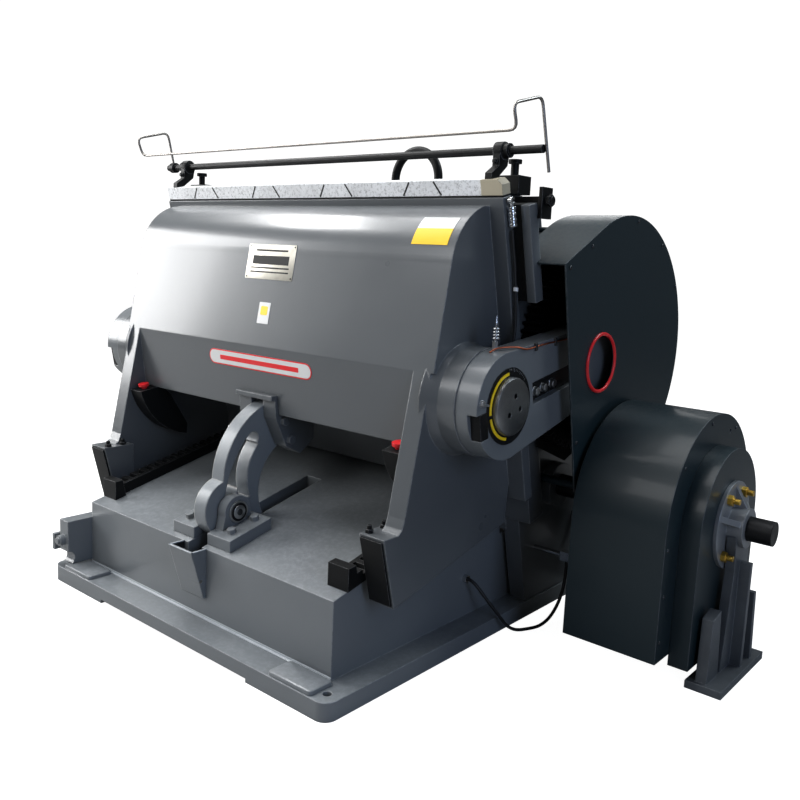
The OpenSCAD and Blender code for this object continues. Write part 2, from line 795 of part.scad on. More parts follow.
module shell_shape(t) {
    inward = polar(1, shell_dir - 90);
    crease = pt(shell_crease[0], shell_crease[1]) + inward * t;
    mid = pt(shell_knee[0], shell_knee[1]) + inward * shoulder_r;
    down = crease - polar(t, shell_dir);
    meet = mid + polar(shoulder_r - t, shell_dir + 90 - blend);
    intersection() {
        union() {
            translate(mid) circle(shoulder_r - t);
            polygon([down, meet, mid, pt(shell_top[0] + 60, shell_top[1] - t), pt(760, 1100),
                pt(760, shell_crease[1] - t)]);
        }
        polygon([
            pt(0, 600), pt(0, shell_top[1] - t),
            pt(bed_at(shell_top[1]) - plate_front / cos(lean) + 2, shell_top[1] - t),
            pt(bed_at(600) - plate_front / cos(lean) + 2, 600)
        ]);
    }
}

foot_top = 480;
foot_front = 176;

module cheek_shape() {
    rear = function (h) bed_at(h) - plate_front / cos(lean) + 2;
    polygon([
        pt(shell_crease[0], shell_crease[1] + E), pt(262, 520), pt(252, 492), pt(238, foot_top),
        pt(foot_front, foot_top), pt(foot_front + 55, 267), pt(776, 403),
        pt(rear(plate_low * cos(lean) + 30), plate_low * cos(lean) + 30),
        pt(rear(shell_crease[1]), shell_crease[1] + E)
    ]);
}

bracket_half = 92;
bracket_top = 768;

module platen_casting() color(GREY) {
    cheek_x = cheek_w / 2;
    difference() {
        union() {
            on_bed() box(-platen_w / 2, platen_w / 2, -plate_front, -plate_back, plate_low, plate_top);
            difference() {
                along_x(-shell_w / 2, shell_w / 2) shell_shape(0);
                along_x(-shell_w / 2 + 34, shell_w / 2 - 34) {
                    shell_shape(shell_t);
                    polygon([pt(420, 860), pt(440, 960), pt(640, 960), pt(660, 860)]);
                }
            }
            along_x(-cheek_x + 1, cheek_x - 1) polygon([
                pt(shell_crease[0], shell_crease[1]), pt(shell_crease[0] + 30, shell_crease[1]),
                pt(panel_low[0] + 30, panel_low[1]), pt(panel_low[0], panel_low[1])
            ]);
            both_sides() {
                along_x(cheek_x - cheek_t, cheek_x) cheek_shape();
                along_x(656, cheek_x - cheek_t + 1) polygon([
                    pt(foot_front, foot_top), pt(300, foot_top), pt(300, 285), pt(foot_front + 55, 267)
                ]);
                translate([shell_w / 2 - 30, BOSS[0], BOSS[1]]) rotate([0, 90, 0])
                    cylinder(h = 50, r1 = boss_r + 22, r2 = boss_r);
                rod(BOSS, cheek_x - cheek_t, arm_x - slip, boss_r);
            }
            // ribs that tie the shell to the plate
            for (i = [-3 : 3]) along_x(i * 206 - 12, i * 206 + 12) intersection() {
                shell_shape(2);
                polygon([pt(0, 940), pt(0, BIG), pt(BIG, BIG), pt(BIG, 940)]);
            }
            along_x(-bracket_half, bracket_half) polygon([
                pt(panel_low[0] + 10, bracket_top), pt(panel_low[0] + 10, 900), pt(452, 950),
                pt(bed_at(820) - plate_front / cos(lean) + 2, 820),
                pt(bed_at(bracket_top) - plate_front / cos(lean) + 2, bracket_top)
            ]);
        }
        box(-bracket_half - 1, bracket_half + 1, yf(320), yf(550), 520, bracket_top);
        both_sides() rod(BOSS, cheek_x - cheek_t - 40, BIG, neck_r + run);
        // button stems and foot screws
        both_sides() for (d = [200, 262])
            translate([672, yf(d), foot_top - 30]) cylinder(h = 60, r = 7);
    }
}

module platen_plate() color(STEEL) on_bed()
    box(-platen_w / 2 + 18, platen_w / 2 - 18, -plate_back, -plate_face, plate_low + 20, plate_top - 6);

strip_low = plate_top + 6;
strip_high = 46;

module strip_spacer() color(BLACK) on_bed()
    box(-platen_w / 2 + 4, platen_w / 2, -plate_front + 4, -plate_back, plate_top, strip_low);

module top_strip() color("#d9dadb") on_bed()
    box(-platen_w / 2 + 4, platen_w / 2 - 74, -plate_front + 2, -plate_back, strip_low, strip_low + strip_high);

module strip_block() color("#c8bda4") on_bed() difference() {
    box(platen_w / 2 - 74, platen_w / 2, -plate_front, -plate_back, strip_low, strip_low + strip_high);
    translate([platen_w / 2, -plate_front, strip_low + strip_high]) rotate([0, 45, 0])
        cube([22, 200, 22], center = true);
}

post_x = 757;

module rod_brackets() color(BLACK) both_sides() {
    strip_back = strip_low + strip_high;
    difference() {
        union() {
            along_x(post_x - 12, post_x + 12) polygon([
                pt(bed_in - strip_back * sin(lean) - (plate_front - 4) * cos(lean),
                    strip_back * cos(lean) - (plate_front - 4) * sin(lean)),
                pt(bed_in - strip_back * sin(lean) - plate_back * cos(lean),
                    strip_back * cos(lean) - plate_back * sin(lean)),
                BAR + [24, -4], BAR + [-24, -4]
            ]);
            rod(BAR, post_x - 14, post_x + 14, 25);
        }
        rod(BAR, 0, BIG, bar_r + run);
    }
}

module safety_rod() color(BLACK) {
    rod(BAR, -885, wire_x - wire_r + 0.15, bar_r);
    for (x = [post_x + 14 + 1, -post_x - 14 - 17]) rod(BAR, x, x + 16, 21);
    rod(BAR, -862, -838, 20);
}

wire_x = 902;
wire_left = -850;
wire_run = [469, 1594];
wire_nose = [443, 1659];
wire_back = [584, 1698];
wire_tail = [646, 1500];

wire_bend = 25;

function wire_at(x, p) = [x, yf(p[0]), p[1]];
function rounded(p, r, n) = concat([p[0]], [for (i = [1 : len(p) - 2]) let (
        a = p[i] + unit(p[i - 1] - p[i]) * r,
        b = p[i] + unit(p[i + 1] - p[i]) * r
    ) for (k = [0 : n]) let (t = k / n) (1 - t) * (1 - t) * a + 2 * t * (1 - t) * p[i] + t * t * b],
    [p[len(p) - 1]]);

module safety_wire() color(STEEL) {
    start = BAR + polar(19.98, atan2(wire_back[1] - bar_h, yf(wire_back[0]) - BAR[0]));
    pts = [
        [wire_left, start[0], start[1]], wire_at(wire_left, wire_back),
        wire_at(wire_left, wire_nose), wire_at(wire_left, wire_run), wire_at(wire_x, wire_run),
        wire_at(wire_x, wire_nose), wire_at(wire_x, wire_back), wire_at(wire_x, wire_tail)
    ];
    tube(rounded(pts, wire_bend, 4), wire_r, 12);
}

module limit_switch() color(STEEL) {
    x = platen_w / 2;
    on_bed() {
        box(x, x + 24, -plate_front + 8, -plate_back - 4, plate_top - 86, plate_top - 18);
        translate([x + 12, -plate_front + 22, plate_top - 18]) cylinder(h = 12, r = 8);
        translate([x + 12, -plate_front + 22, plate_top - 96]) cylinder(h = 10, r = 9);
    }
}

// ---------- cam arm ----------
arm_mid = [460, 483];
slot_in = slot_half_w();
function slot_half_w() = roller_r + slot_play;

module slot_2d() {
    span = PIN - ROCK;
    r = norm(span);
    a0 = atan2(span[1], span[0]);
    a1 = a0 - open_angle - 1;
    intersection() {
        translate(ROCK) difference() {
            circle(r + slot_in);
            circle(r - slot_in);
        }
        polygon([ROCK, ROCK + polar(700, a0), ROCK + polar(700, (a0 + a1) / 2), ROCK + polar(700, a1)]);
    }
    for (a = [a0, a1]) translate(ROCK + polar(r, a)) circle(slot_in);
    // the slot is wider behind the roller's path
    intersection() {
        translate(pt(arm_mid[0], arm_mid[1])) difference() {
            circle(206);
            circle(165);
        }
        polygon([
            pt(150, 440), ROCK + polar(240, a0 - 6), ROCK + polar(300, a1), ROCK + polar(420, a1),
            pt(150, 600)
        ]);
    }
}

module cam_arm() color("#85898d") along_x(-arm_t / 2, arm_t / 2) difference() {
    union() {
        intersection() {
            translate(pt(arm_mid[0], arm_mid[1])) circle(arm_r);
            polygon([pt(100, 752), pt(480, 752), pt(500, 600), pt(500, 350), pt(320, 330), pt(100, 330)]);
        }
        translate(PIN) circle(hub_r);
        polygon([pt(372, 727), pt(480, 752), pt(395, 752)]);
    }
    translate(pt(522, 432)) circle(176);
    slot_2d();
}

module arm_bracket() color(GREY) {
    both_sides() {
        along_x(arm_t / 2, bracket_half) polygon([
            pt(356, 752), pt(540, 752), pt(540, 600), pt(478, 556), pt(412, 590), pt(362, 690)
        ]);
        for (p = [[398, 680], [428, 612]])
            translate([bracket_half, yf(p[0]), p[1]]) rotate([0, 90, 0]) cylinder(h = 14, r = 16, $fn = 6);
    }
    box(-bracket_half, bracket_half, yf(340), yf(550), 752, bracket_top);
}

// ---------- stop buttons ----------
stop_x = 614;
stop_in = 342;
stop_tilt = 10;
stop_face = 696;
stem_r = 11;
button_r = 20;

module stop_boxes() color(BLACK) both_sides() difference() {
    along_x(stop_x, cheek_w / 2 - cheek_t) intersection() {
        translate(pt(560, 762)) circle(265);
        polygon([
            pt(280, stop_face - 62 * tan(stop_tilt)), pt(370, stop_face + 28 * tan(stop_tilt)),
            pt(404, 702), pt(440, 667),
            pt(520, 541), pt(515, 480), pt(280, 480)
        ]);
    }
    translate([stop_x + 34, yf(stop_in), stop_face]) rotate([stop_tilt, 0, 0]) {
        translate([0, 0, -50]) cylinder(h = 100, r = stem_r + 0.3);
    }
}

module stop_button(side) {
    translate([side * (stop_x + 34), yf(stop_in), stop_face]) rotate([stop_tilt, 0, 0]) {
        translate([0, 0, 9]) cylinder(h = 10, r = button_r);
        translate([0, 0, -30]) cylinder(h = 39.5, r = stem_r);
    }
}

module stop_button_right() color("#c3282c") stop_button(1);
module stop_button_left() color("#c3282c") stop_button(-1);

function foot_face(h, t) = pt(foot_front + (foot_top - h) * 55 / (foot_top - 267) - t, h);

module foot_fittings() color(BLACK) both_sides() {
    for (d = [200, 262]) translate([672, yf(d), foot_top - 30]) {
        cylinder(h = 52, r = 7);
        translate([0, 0, 30]) cylinder(h = 10, r = 12, $fn = 6);
    }
    along_x(662, cheek_w / 2 - 6) polygon([
        foot_face(472, 0), foot_face(275, 0), foot_face(275, 7), foot_face(472, 7)
    ]);
}

// ---------- side arms ----------
neck_r = 62;
dial_r = 103;
scale_r = 97;
cap_r = 84;
dial_lip = 10;
cap_out = 20;
channel_from = 128;
channel_to = 430;
channel_w = 66;
channel_d = 22;
lock_h = 78;
lock_low = 62;

module arm_frame() {
    translate([0, BOSS[0], BOSS[1]]) rotate([arm_angle, 0, 0]) children();
}

module arm_blank() {
    side = asin((end_r - eye_r) / arm_len);
    end = end_r * inset;
    eye = eye_r * inset;
    rod([0, 0], arm_x, arm_out, end_r);
    rod([arm_len, 0], arm_x, arm_out, eye_r);
    along_x(arm_x, arm_out) polygon([
        polar(end, 90 - side + blend), [arm_len, 0] + polar(eye, 90 - side - blend),
        [arm_len, 0] + polar(eye, side - 90 + blend), polar(end, side - 90 - blend)
    ]);
}

module side_arm() {
    arm_frame() difference() {
        arm_blank();
        rod([0, 0], 0, BIG, eccentric_r + run);
        rod([0, 0], arm_out - dial_lip - slip, BIG, dial_r + 1);
        rod([arm_len, 0], 0, BIG, crank_r);
        box(arm_out - channel_d, BIG, channel_from, channel_to, -channel_w / 2, channel_w / 2);
        box(arm_out - 32, BIG, -BIG, -dial_r - 3, -lock_low, lock_h - lock_low);
    }
}

module side_arm_right() color(GREY) side_arm();
module side_arm_left() color(GREY) mirror([1, 0, 0]) side_arm();

module arm_clamps() {
    arm_frame() {
        difference() {
            box(arm_out - channel_d, arm_out - channel_d + 12, channel_from + 2, channel_to - 30, -26, 26);
            rod([0, 0], 0, BIG, dial_r + 2);
        }
        for (y = [170 : 62 : 360]) translate([arm_out - channel_d + 12, y, 0]) rotate([0, 90, 0]) {
            cylinder(h = 12, r = 15);
            cylinder(h = 18, r = 9, $fn = 6);
        }
        difference() {
            box(arm_out - 32, arm_out + 8, -end_r - 6, -dial_r - 3, -lock_low, lock_h - lock_low);
            rod([0, 0], 0, BIG, dial_r + 1.5);
        }
    }
}

module arm_clamps_right() color(BLACK) arm_clamps();
module arm_clamps_left() color(BLACK) mirror([1, 0, 0]) arm_clamps();

module crank_pin() {
    rod(CRANK, arm_x, arm_out, crank_r);
    rod(CRANK, arm_out, arm_out + 14, crank_r + 28);
}

module crank_pin_right() color(STEEL) crank_pin();
module crank_pin_left() color(STEEL) mirror([1, 0, 0]) crank_pin();

module dial() {
    difference() {
        union() {
            rod(BOSS, arm_x + slip, arm_out - dial_lip, eccentric_r);
            rod(BOSS, arm_out - dial_lip, arm_out, dial_r);
            rod(BOSS, arm_out, arm_out + cap_out, cap_r);
            rod(BOSS, cheek_w / 2 - cheek_t - 20, arm_x + slip + E, neck_r);
        }
        for (a = [60, 180, 300]) rod(BOSS + polar(36, a), arm_out - 5, BIG, 8);
    }
}

module dial_right() color("#3d4042") dial();
module dial_left() color("#3d4042") mirror([1, 0, 0]) dial();

module scale() {
    along_x(arm_out, arm_out + 2.5) translate(BOSS) intersection() {
        difference() {
            circle(scale_r);
            circle(scale_r - 9);
        }
        polygon([[0, 0], polar(150, 80), polar(250, 120), polar(250, 180), polar(250, 240), polar(150, 280)]);
    }
}

module scale_right() color("#e2c81e") scale();
module scale_left() color("#e2c81e") mirror([1, 0, 0]) scale();

module oiler() {
    top = BOSS + polar(end_r + 0.9, 96);
    x = arm_x + 26;
    translate([x, top[0], top[1]]) {
        cylinder(h = 26, r = 9, $fn = 6);
        translate([0, 0, 26]) cylinder(h = 50, r = 3.5);
        for (i = [0 : 3]) translate([0, 0, 34 + i * 9]) rotate_extrude() translate([9, 0]) circle(2.6);
        translate([0, 0, 76]) cylinder(h = 22, r1 = 3.5, r2 = 1);
        for (i = [0 : 3]) translate([0, 0, 34 + i * 9]) cylinder(h = 2, r = 8);
    }
}

module oiler_right() color(STEEL) oiler();
module oiler_left() color(STEEL) mirror([1, 0, 0]) oiler();

// ---------- small fittings on the base ----------
module stop_bracket() color(GREY) {
    x = -step_w / 2;
    difference() {
        box(x - 58, x, yf(12), yf(step_in + 60), flange_t + 14, 232);
        rod(pt(12, 92), -BIG, BIG, 26);
    }
    translate([x - 32, yf(12), 158]) rotate([90, 0, 0]) cylinder(h = 20, r = 20);
    translate([x - 32, yf(-8), 158]) rotate([90, 0, 0]) cylinder(h = 8, r = 12);
    box(x - 96, x - 80, yf(2), yf(34), 110, 170);
    rod(pt(24, 140), x - 80, x - 58, 12);
}

cable_r = 5.5;
cable_sides = 8;
cable_path = [
    [634, 735, 190], [641, 735, 190], [649, 735, 190], [664, 736, 186], [685, 742, 168],
    [715, 760, 125], [740, 790, 76], [754, 820, 36],
    [770, 855, 14], [790, 900, 10], [810, 945, 14], [826, 985, 40], [836, 1020, 90], [840, 1040, 150],
    [840, 1045, 212], [840, 1045, 238]
];

// smooth curve through the route's points
function spline(p, i, t) = let (
        a = p[max(i - 1, 0)],
        b = p[i],
        c = p[i + 1],
        d = p[min(i + 2, len(p) - 1)]
    ) 0.5 * (2 * b + (c - a) * t + (2 * a - 5 * b + 4 * c - d) * t * t
        + (3 * b - a - 3 * c + d) * t * t * t);
function dense(p, n) = concat(
    [for (i = [0 : len(p) - 2], k = [0 : n - 1]) spline(p, i, k / n)], [p[len(p) - 1]]);
function unit(v) = v / norm(v);

module tube(path, r, sides) {
    n = len(path);
    dirs = [for (i = [0 : n - 1]) unit(path[min(i + 1, n - 1)] - path[max(i - 1, 0)])];
    ref = [1, 0, 0.2];
    rings = [for (i = [0 : n - 1]) let (
            u = unit(cross(dirs[i], abs(dirs[i] * unit(ref)) > 0.95 ? [0, 1, 0] : ref)),
            v = cross(dirs[i], u)
        ) for (k = [0 : sides - 1]) path[i] + r * (u * cos(360 * k / sides) + v * sin(360 * k / sides))];
    faces = concat(
        [[for (k = [sides - 1 : -1 : 0]) k]],
        [for (i = [0 : n - 2], k = [0 : sides - 1]) [
            i * sides + k, i * sides + (k + 1) % sides,
            (i + 1) * sides + (k + 1) % sides, (i + 1) * sides + k]],
        [[for (k = [0 : sides - 1]) (n - 1) * sides + k]]);
    polyhedron(points = rings, faces = faces, convexity = 6);
}

module base_cable() color(BLACK)
    tube(dense([for (p = cable_path) [p[0], yf(p[1]), p[2]]], 3), cable_r, cable_sides);

hose_r = 4.5;
hose_path = [
    [820, 603, 1335], [820, 610, 1300], [820, 626, 1240], [820, 640, 1160], [820, 650, 1080],
    [817, 652, 1010], [810, 646, 962], [800, 633, 936]
];

module switch_hose() color(BLACK)
    tube(dense([for (p = hose_path) [p[0], yf(p[1]), p[2]]], 4), hose_r, cable_sides);

module conduit() color(STEEL) {
    x = step_w / 2;
    socket = cable_r + 0.5;
    difference() {
        translate([x, yf(735), 190]) rotate([0, 90, 0]) cylinder(h = 14, r = 14, $fn = 6);
        rod(pt(735, 190), x - 1, x + 15, socket);
    }
    difference() {
        box(840 - 20, 840 + 20, yf(1030), yf(1060), 230, 262);
        translate([840, yf(1045), 229]) cylinder(h = 12, r = socket);
    }
    rod(pt(1045, 246), frame_x, 820, 9);
}

base_casting();
arm_pocket();
track_racks();
roller_blocks();
roller_pin();
cam_roller();
bed_frame();
gear_stubs();
chase_frame();
chase_clamps();
lifting_ring();
switch_bracket();
bull_gear_right();
bull_gear_left();
cross_shaft();
drive_shaft();
flywheel();
motor_pulley();
drive_belts();
motor();
motor_bracket();
gear_guard_right();
gear_guard_left();
guard_ring();
flywheel_guard();
clutch_cover();
bearing_spider();
spider_nuts();
outboard_stand();
platen_casting();
platen_plate();
strip_spacer();
top_strip();
strip_block();
rod_brackets();
safety_rod();
safety_wire();
limit_switch();
switch_hose();
cam_arm();
arm_bracket();
stop_boxes();
stop_button_right();
stop_button_left();
foot_fittings();
side_arm_right();
side_arm_left();
arm_clamps_right();
arm_clamps_left();
crank_pin_right();
crank_pin_left();
dial_right();
dial_left();
scale_right();
scale_left();
oiler_right();
oiler_left();
stop_bracket();
base_cable();
conduit();
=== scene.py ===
import json
import math

import bmesh
import bpy
from mathutils import Matrix, Vector


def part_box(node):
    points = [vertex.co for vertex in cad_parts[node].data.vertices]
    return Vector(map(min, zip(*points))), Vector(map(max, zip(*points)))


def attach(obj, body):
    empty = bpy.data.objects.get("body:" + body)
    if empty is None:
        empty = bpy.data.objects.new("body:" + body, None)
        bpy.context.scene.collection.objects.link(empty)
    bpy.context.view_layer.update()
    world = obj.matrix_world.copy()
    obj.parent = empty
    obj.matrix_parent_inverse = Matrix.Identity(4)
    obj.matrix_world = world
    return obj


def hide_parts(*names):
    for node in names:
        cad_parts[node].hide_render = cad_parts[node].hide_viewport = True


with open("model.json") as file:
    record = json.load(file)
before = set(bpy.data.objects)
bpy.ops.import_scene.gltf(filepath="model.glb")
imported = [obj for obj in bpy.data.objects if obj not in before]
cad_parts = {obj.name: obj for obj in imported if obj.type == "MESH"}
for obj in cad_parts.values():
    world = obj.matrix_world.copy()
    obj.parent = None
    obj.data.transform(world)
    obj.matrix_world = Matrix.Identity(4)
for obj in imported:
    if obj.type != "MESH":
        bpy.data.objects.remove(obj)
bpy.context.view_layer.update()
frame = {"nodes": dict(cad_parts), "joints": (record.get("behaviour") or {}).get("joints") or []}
nodes = frame["nodes"]
joints = {joint["name"]: joint for joint in frame["joints"]}

# ---------- lengths in millimetres, and places read from the frame ----------
MM = 0.001
X, DEEP, HIGH = range(3)
BASE_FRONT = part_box("base_casting")[0].y / MM


def at(x, deep, high):
    """A place in metres from millimetres: across, in from the base's front edge, and up from the floor."""
    return Vector((x, deep + BASE_FRONT, high)) * MM


def span(node, axis):
    """Where a node starts and ends along one axis, in millimetres."""
    front = BASE_FRONT if axis == DEEP else 0
    return tuple(round(corner[axis] / MM - front, 2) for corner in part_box(node))


def pivot(joint):
    """How far in from the base's front edge and how high a joint's axis lies, in millimetres."""
    _, y, z = joints[joint]["pos_m"]
    return round(y / MM - BASE_FRONT, 2), round(z / MM, 2)


# ---------- camera, light and floor, in metres ----------
LENS_MM = 38.31
SENSOR_MM = 36
CAMERA_SHIFT = (0.0081, -0.0233)
CAMERA_PLACE = (2.191, -2.2638, 1.2535)
CAMERA_YAW = 40.32
CAMERA_PITCH = -8.54
CAMERA_ROLL = 2.51
CAMERA_REACH = 100

WHITE = (1, 1, 1)
COOL = (0.85, 0.94, 1.0)
BLUE = (0.56, 0.70, 1.0)
# name, where it hangs, what it looks at, its width and height, its power and its tint
LIGHTS = (
    ("key_light", (-4.8, -2.4, 2.4), (-0.2, -0.3, 0.8), (2.1, 2.8), 218, WHITE),
    ("shoulder_light", (-2.5, -0.3, 3.9), (0.1, -0.3, 1.3), (1.7, 0.6), 75, WHITE),
    ("front_light", (-1.4, -5.2, 4.0), (0, -0.3, 0.7), (3.6, 2.0), 117, WHITE),
    ("top_light", (-0.8, -0.4, 5.0), (0.1, 0, 0.8), (3.0, 2.4), 135, WHITE),
    ("side_light", (5.2, -2.0, 2.2), (0.6, -0.1, 0.7), (1.6, 2.2), 62, BLUE),
    ("rim_light", (2.6, 2.4, 4.4), (0.9, 0.5, 1.2), (2.0, 1.4), 84, COOL),
    ("back_light", (-2.4, 4.6, 3.4), (0, 0.6, 1.0), (3.4, 2.0), 60, WHITE),
)
SKY_TINT = (0.92, 0.96, 1.0, 1)
SKY_STRENGTH = 0.10
EXPOSURE = 0.12
GAMMA = 0.9
FLOOR_SIZE = 40
FLOOR_SHADE = 0.34
FLOOR_ROUGH = 0.75
FLOOR_GLOW = 0.90


def make_camera():
    """A camera turned by its yaw from +Y, its pitch above the horizon and its roll about its view line."""
    data = bpy.data.cameras.new("camera")
    data.lens = LENS_MM
    data.sensor_width = SENSOR_MM
    data.shift_x, data.shift_y = CAMERA_SHIFT
    data.clip_end = CAMERA_REACH
    camera = bpy.data.objects.new("camera", data)
    camera.matrix_world = (
        Matrix.Translation(CAMERA_PLACE)
        @ Matrix.Rotation(math.radians(CAMERA_YAW), 4, "Z")
        @ Matrix.Rotation(math.radians(90 + CAMERA_PITCH), 4, "X")
        @ Matrix.Rotation(math.radians(CAMERA_ROLL), 4, "Z")
    )
    bpy.context.scene.collection.objects.link(camera)
    bpy.context.scene.camera = camera


def make_light(name, place, target, size, power, tint):
    """A soft rectangular lamp that looks at its target."""
    data = bpy.data.lights.new(name, "AREA")
    data.shape = "RECTANGLE"
    data.size, data.size_y = size
    data.energy = power
    data.color = tint
    lamp = bpy.data.objects.new(name, data)
    aim = (Vector(target) - Vector(place)).to_track_quat("-Z", "Y")
    lamp.matrix_world = Matrix.Translation(place) @ aim.to_matrix().to_4x4()
    bpy.context.scene.collection.objects.link(lamp)


def make_sky():
    """A dim sky that lights the part, with plain white where it is seen directly."""
    world = bpy.data.worlds.new("studio")
    world.use_nodes = True
    tree = world.node_tree
    dim = tree.nodes["Background"]
    dim.inputs["Color"].default_value = SKY_TINT
    dim.inputs["Strength"].default_value = SKY_STRENGTH
    backdrop = tree.nodes.new("ShaderNodeBackground")
    backdrop.inputs["Color"].default_value = (*WHITE, 1)
    backdrop.inputs["Strength"].default_value = 1.0
    seen = tree.nodes.new("ShaderNodeLightPath")
    choose = tree.nodes.new("ShaderNodeMixShader")
    tree.links.new(seen.outputs["Is Camera Ray"], choose.inputs["Fac"])
    tree.links.new(dim.outputs["Background"], choose.inputs[1])
    tree.links.new(backdrop.outputs["Background"], choose.inputs[2])
    tree.links.new(choose.outputs["Shader"], tree.nodes["World Output"].inputs["Surface"])
    bpy.context.scene.world = world


def make_studio():
    """The camera, the lamps and the sky, with the exposure they are seen at."""
    make_camera()
    for light in LIGHTS:
        make_light(*light)
    make_sky()
    view = bpy.context.scene.view_settings
    view.view_transform = "Standard"
    view.exposure = EXPOSURE
    view.gamma = GAMMA


def make_floor():
    """A pale paper floor that takes the part's shadow."""
    bpy.ops.mesh.primitive_plane_add(size=FLOOR_SIZE)
    floor = bpy.context.object
    floor.name = "studio_floor"
    material, tree, shader = start_material("floor_paper")
    shader.inputs["Base Color"].default_value = (FLOOR_SHADE, FLOOR_SHADE, FLOOR_SHADE, 1)
    shader.inputs["Roughness"].default_value = FLOOR_ROUGH
    shader.inputs["Emission Color"].default_value = (*WHITE, 1)
    seen = tree.nodes.new("ShaderNodeLightPath")
    glow = math_node(tree, "MULTIPLY", seen.outputs["Is Camera Ray"], FLOOR_GLOW)
    tree.links.new(glow, shader.inputs["Emission Strength"])
    floor.data.materials.append(material)


# ---------- shader nodes ----------
def math_node(tree, operation, first, second, clamp=False):
    node = tree.nodes.new("ShaderNodeMath")
    node.operation = operation
    node.use_clamp = clamp
    for socket, value in zip(node.inputs, (first, second)):
        if isinstance(value, (int, float)):
            socket.default_value = value
        else:
            tree.links.new(value, socket)
    return node.outputs[0]


def noise(tree, scale, detail, roughness=0.55, coordinates=None):
    node = tree.nodes.new("ShaderNodeTexNoise")
    node.inputs["Detail"].default_value = detail
    node.inputs["Roughness"].default_value = roughness
    if isinstance(scale, (int, float)):
        node.inputs["Scale"].default_value = scale
    else:
        tree.links.new(scale, node.inputs["Scale"])
    if coordinates is None:
        coordinates = tree.nodes.new("ShaderNodeTexCoord").outputs["Object"]
    tree.links.new(coordinates, node.inputs["Vector"])
    return node.outputs["Fac"]


def ramp(tree, factor, low, high):
    """Spreads a factor from low..high to 0..1."""
    node = tree.nodes.new("ShaderNodeMapRange")
    node.inputs["From Min"].default_value = low
    node.inputs["From Max"].default_value = high
    tree.links.new(factor, node.inputs["Value"])
    return node.outputs["Result"]


def mix_colour(tree, factor, first, second):
    node = tree.nodes.new("ShaderNodeMix")
    node.data_type = "RGBA"
    tree.links.new(factor, node.inputs["Factor"])
    for socket, value in ((node.inputs[6], first), (node.inputs[7], second)):
        if isinstance(value, tuple):
            socket.default_value = (*value, 1)
        else:
            tree.links.new(value, socket)
    return node.outputs[2]


def roughen(tree, shader, rough, *shares):
    """Sets a roughness that grows with each (factor, share) given."""
    total = rough
    for factor, share in shares:
        total = math_node(tree, "ADD", math_node(tree, "MULTIPLY", factor, share), total)
    tree.links.new(total, shader.inputs["Roughness"])


def bumped(tree, shader, height, normal, strength, distance):
    """Raises the surface by a height, over the rounded edges' normal; the distance is in millimetres."""
    bump = tree.nodes.new("ShaderNodeBump")
    bump.inputs["Strength"].default_value = strength
    bump.inputs["Distance"].default_value = distance * MM
    tree.links.new(height, bump.inputs["Height"])
    tree.links.new(normal, bump.inputs["Normal"])
    tree.links.new(bump.outputs["Normal"], shader.inputs["Normal"])


# ---------- shared node groups ----------
def new_group(name, inputs, outputs):
    group = bpy.data.node_groups.new(name, "ShaderNodeTree")
    for label, value in inputs:
        socket = group.interface.new_socket(label, in_out="INPUT", socket_type="NodeSocketFloat")
        socket.default_value = value
    for label, kind in outputs:
        group.interface.new_socket(label, in_out="OUTPUT", socket_type=kind)
    entry = group.nodes.new("NodeGroupInput")
    leave = group.nodes.new("NodeGroupOutput")
    return group, entry, leave


def place_group(tree, group, **values):
    node = tree.nodes.new("ShaderNodeGroup")
    node.node_tree = group
    for label, value in values.items():
        node.inputs[label].default_value = value
    return node


def make_edge_group():
    """Rounded edges for shading, and a mask that is 1 on corners, which paint colours as wear and as a
    painted highlight.
    """
    group, entry, leave = new_group(
        "rounded_edges",
        [("Radius", 0.004), ("Wear", 0.3)],
        [("Mask", "NodeSocketFloat"), ("Normal", "NodeSocketVector")],
    )
    bevel = group.nodes.new("ShaderNodeBevel")
    bevel.samples = 6
    group.links.new(entry.outputs["Radius"], bevel.inputs["Radius"])
    plain = group.nodes.new("ShaderNodeNewGeometry")
    dot = group.nodes.new("ShaderNodeVectorMath")
    dot.operation = "DOT_PRODUCT"
    group.links.new(bevel.outputs["Normal"], dot.inputs[0])
    group.links.new(plain.outputs["Normal"], dot.inputs[1])
    turn = math_node(group, "SUBTRACT", 1.0, dot.outputs["Value"], clamp=True)
    sharp = ramp(group, turn, low=0.02, high=0.22)
    broken = ramp(group, noise(group, scale=46.0, detail=6.0, roughness=0.7), low=0.34, high=0.56)
    corner_mask = math_node(group, "MULTIPLY", sharp, broken)
    mask = math_node(group, "MULTIPLY", corner_mask, entry.outputs["Wear"], clamp=True)
    group.links.new(mask, leave.inputs["Mask"])
    group.links.new(bevel.outputs["Normal"], leave.inputs["Normal"])
    return group


def make_film_group():
    """A sprayed film: slow clouds, waves with fine orange peel, and dust that lies on faces turned up."""
    group, entry, leave = new_group(
        "sprayed_film",
        [("Peel", 0.3), ("Scale", 1.0)],
        [("Cloud", "NodeSocketFloat"), ("Height", "NodeSocketFloat"), ("Dust", "NodeSocketFloat")],
    )

    def scaled(size, detail):
        return noise(group, math_node(group, "MULTIPLY", entry.outputs["Scale"], size), detail)

    slow = scaled(3.2, detail=3.0)
    wave = scaled(21.0, detail=3.0)
    fine = math_node(group, "MULTIPLY", scaled(240.0, detail=2.0), entry.outputs["Peel"])
    group.links.new(ramp(group, slow, low=0.15, high=0.85), leave.inputs["Cloud"])
    group.links.new(math_node(group, "ADD", wave, fine), leave.inputs["Height"])
    facing = group.nodes.new("ShaderNodeSeparateXYZ")
    group.links.new(group.nodes.new("ShaderNodeNewGeometry").outputs["Normal"], facing.inputs[0])
    up = ramp(group, facing.outputs["Z"], low=0.55, high=1.0)
    specks = ramp(group, noise(group, scale=60.0, detail=8.0, roughness=0.75), low=0.45, high=0.75)
    group.links.new(math_node(group, "MULTIPLY", up, specks), leave.inputs["Dust"])
    return group


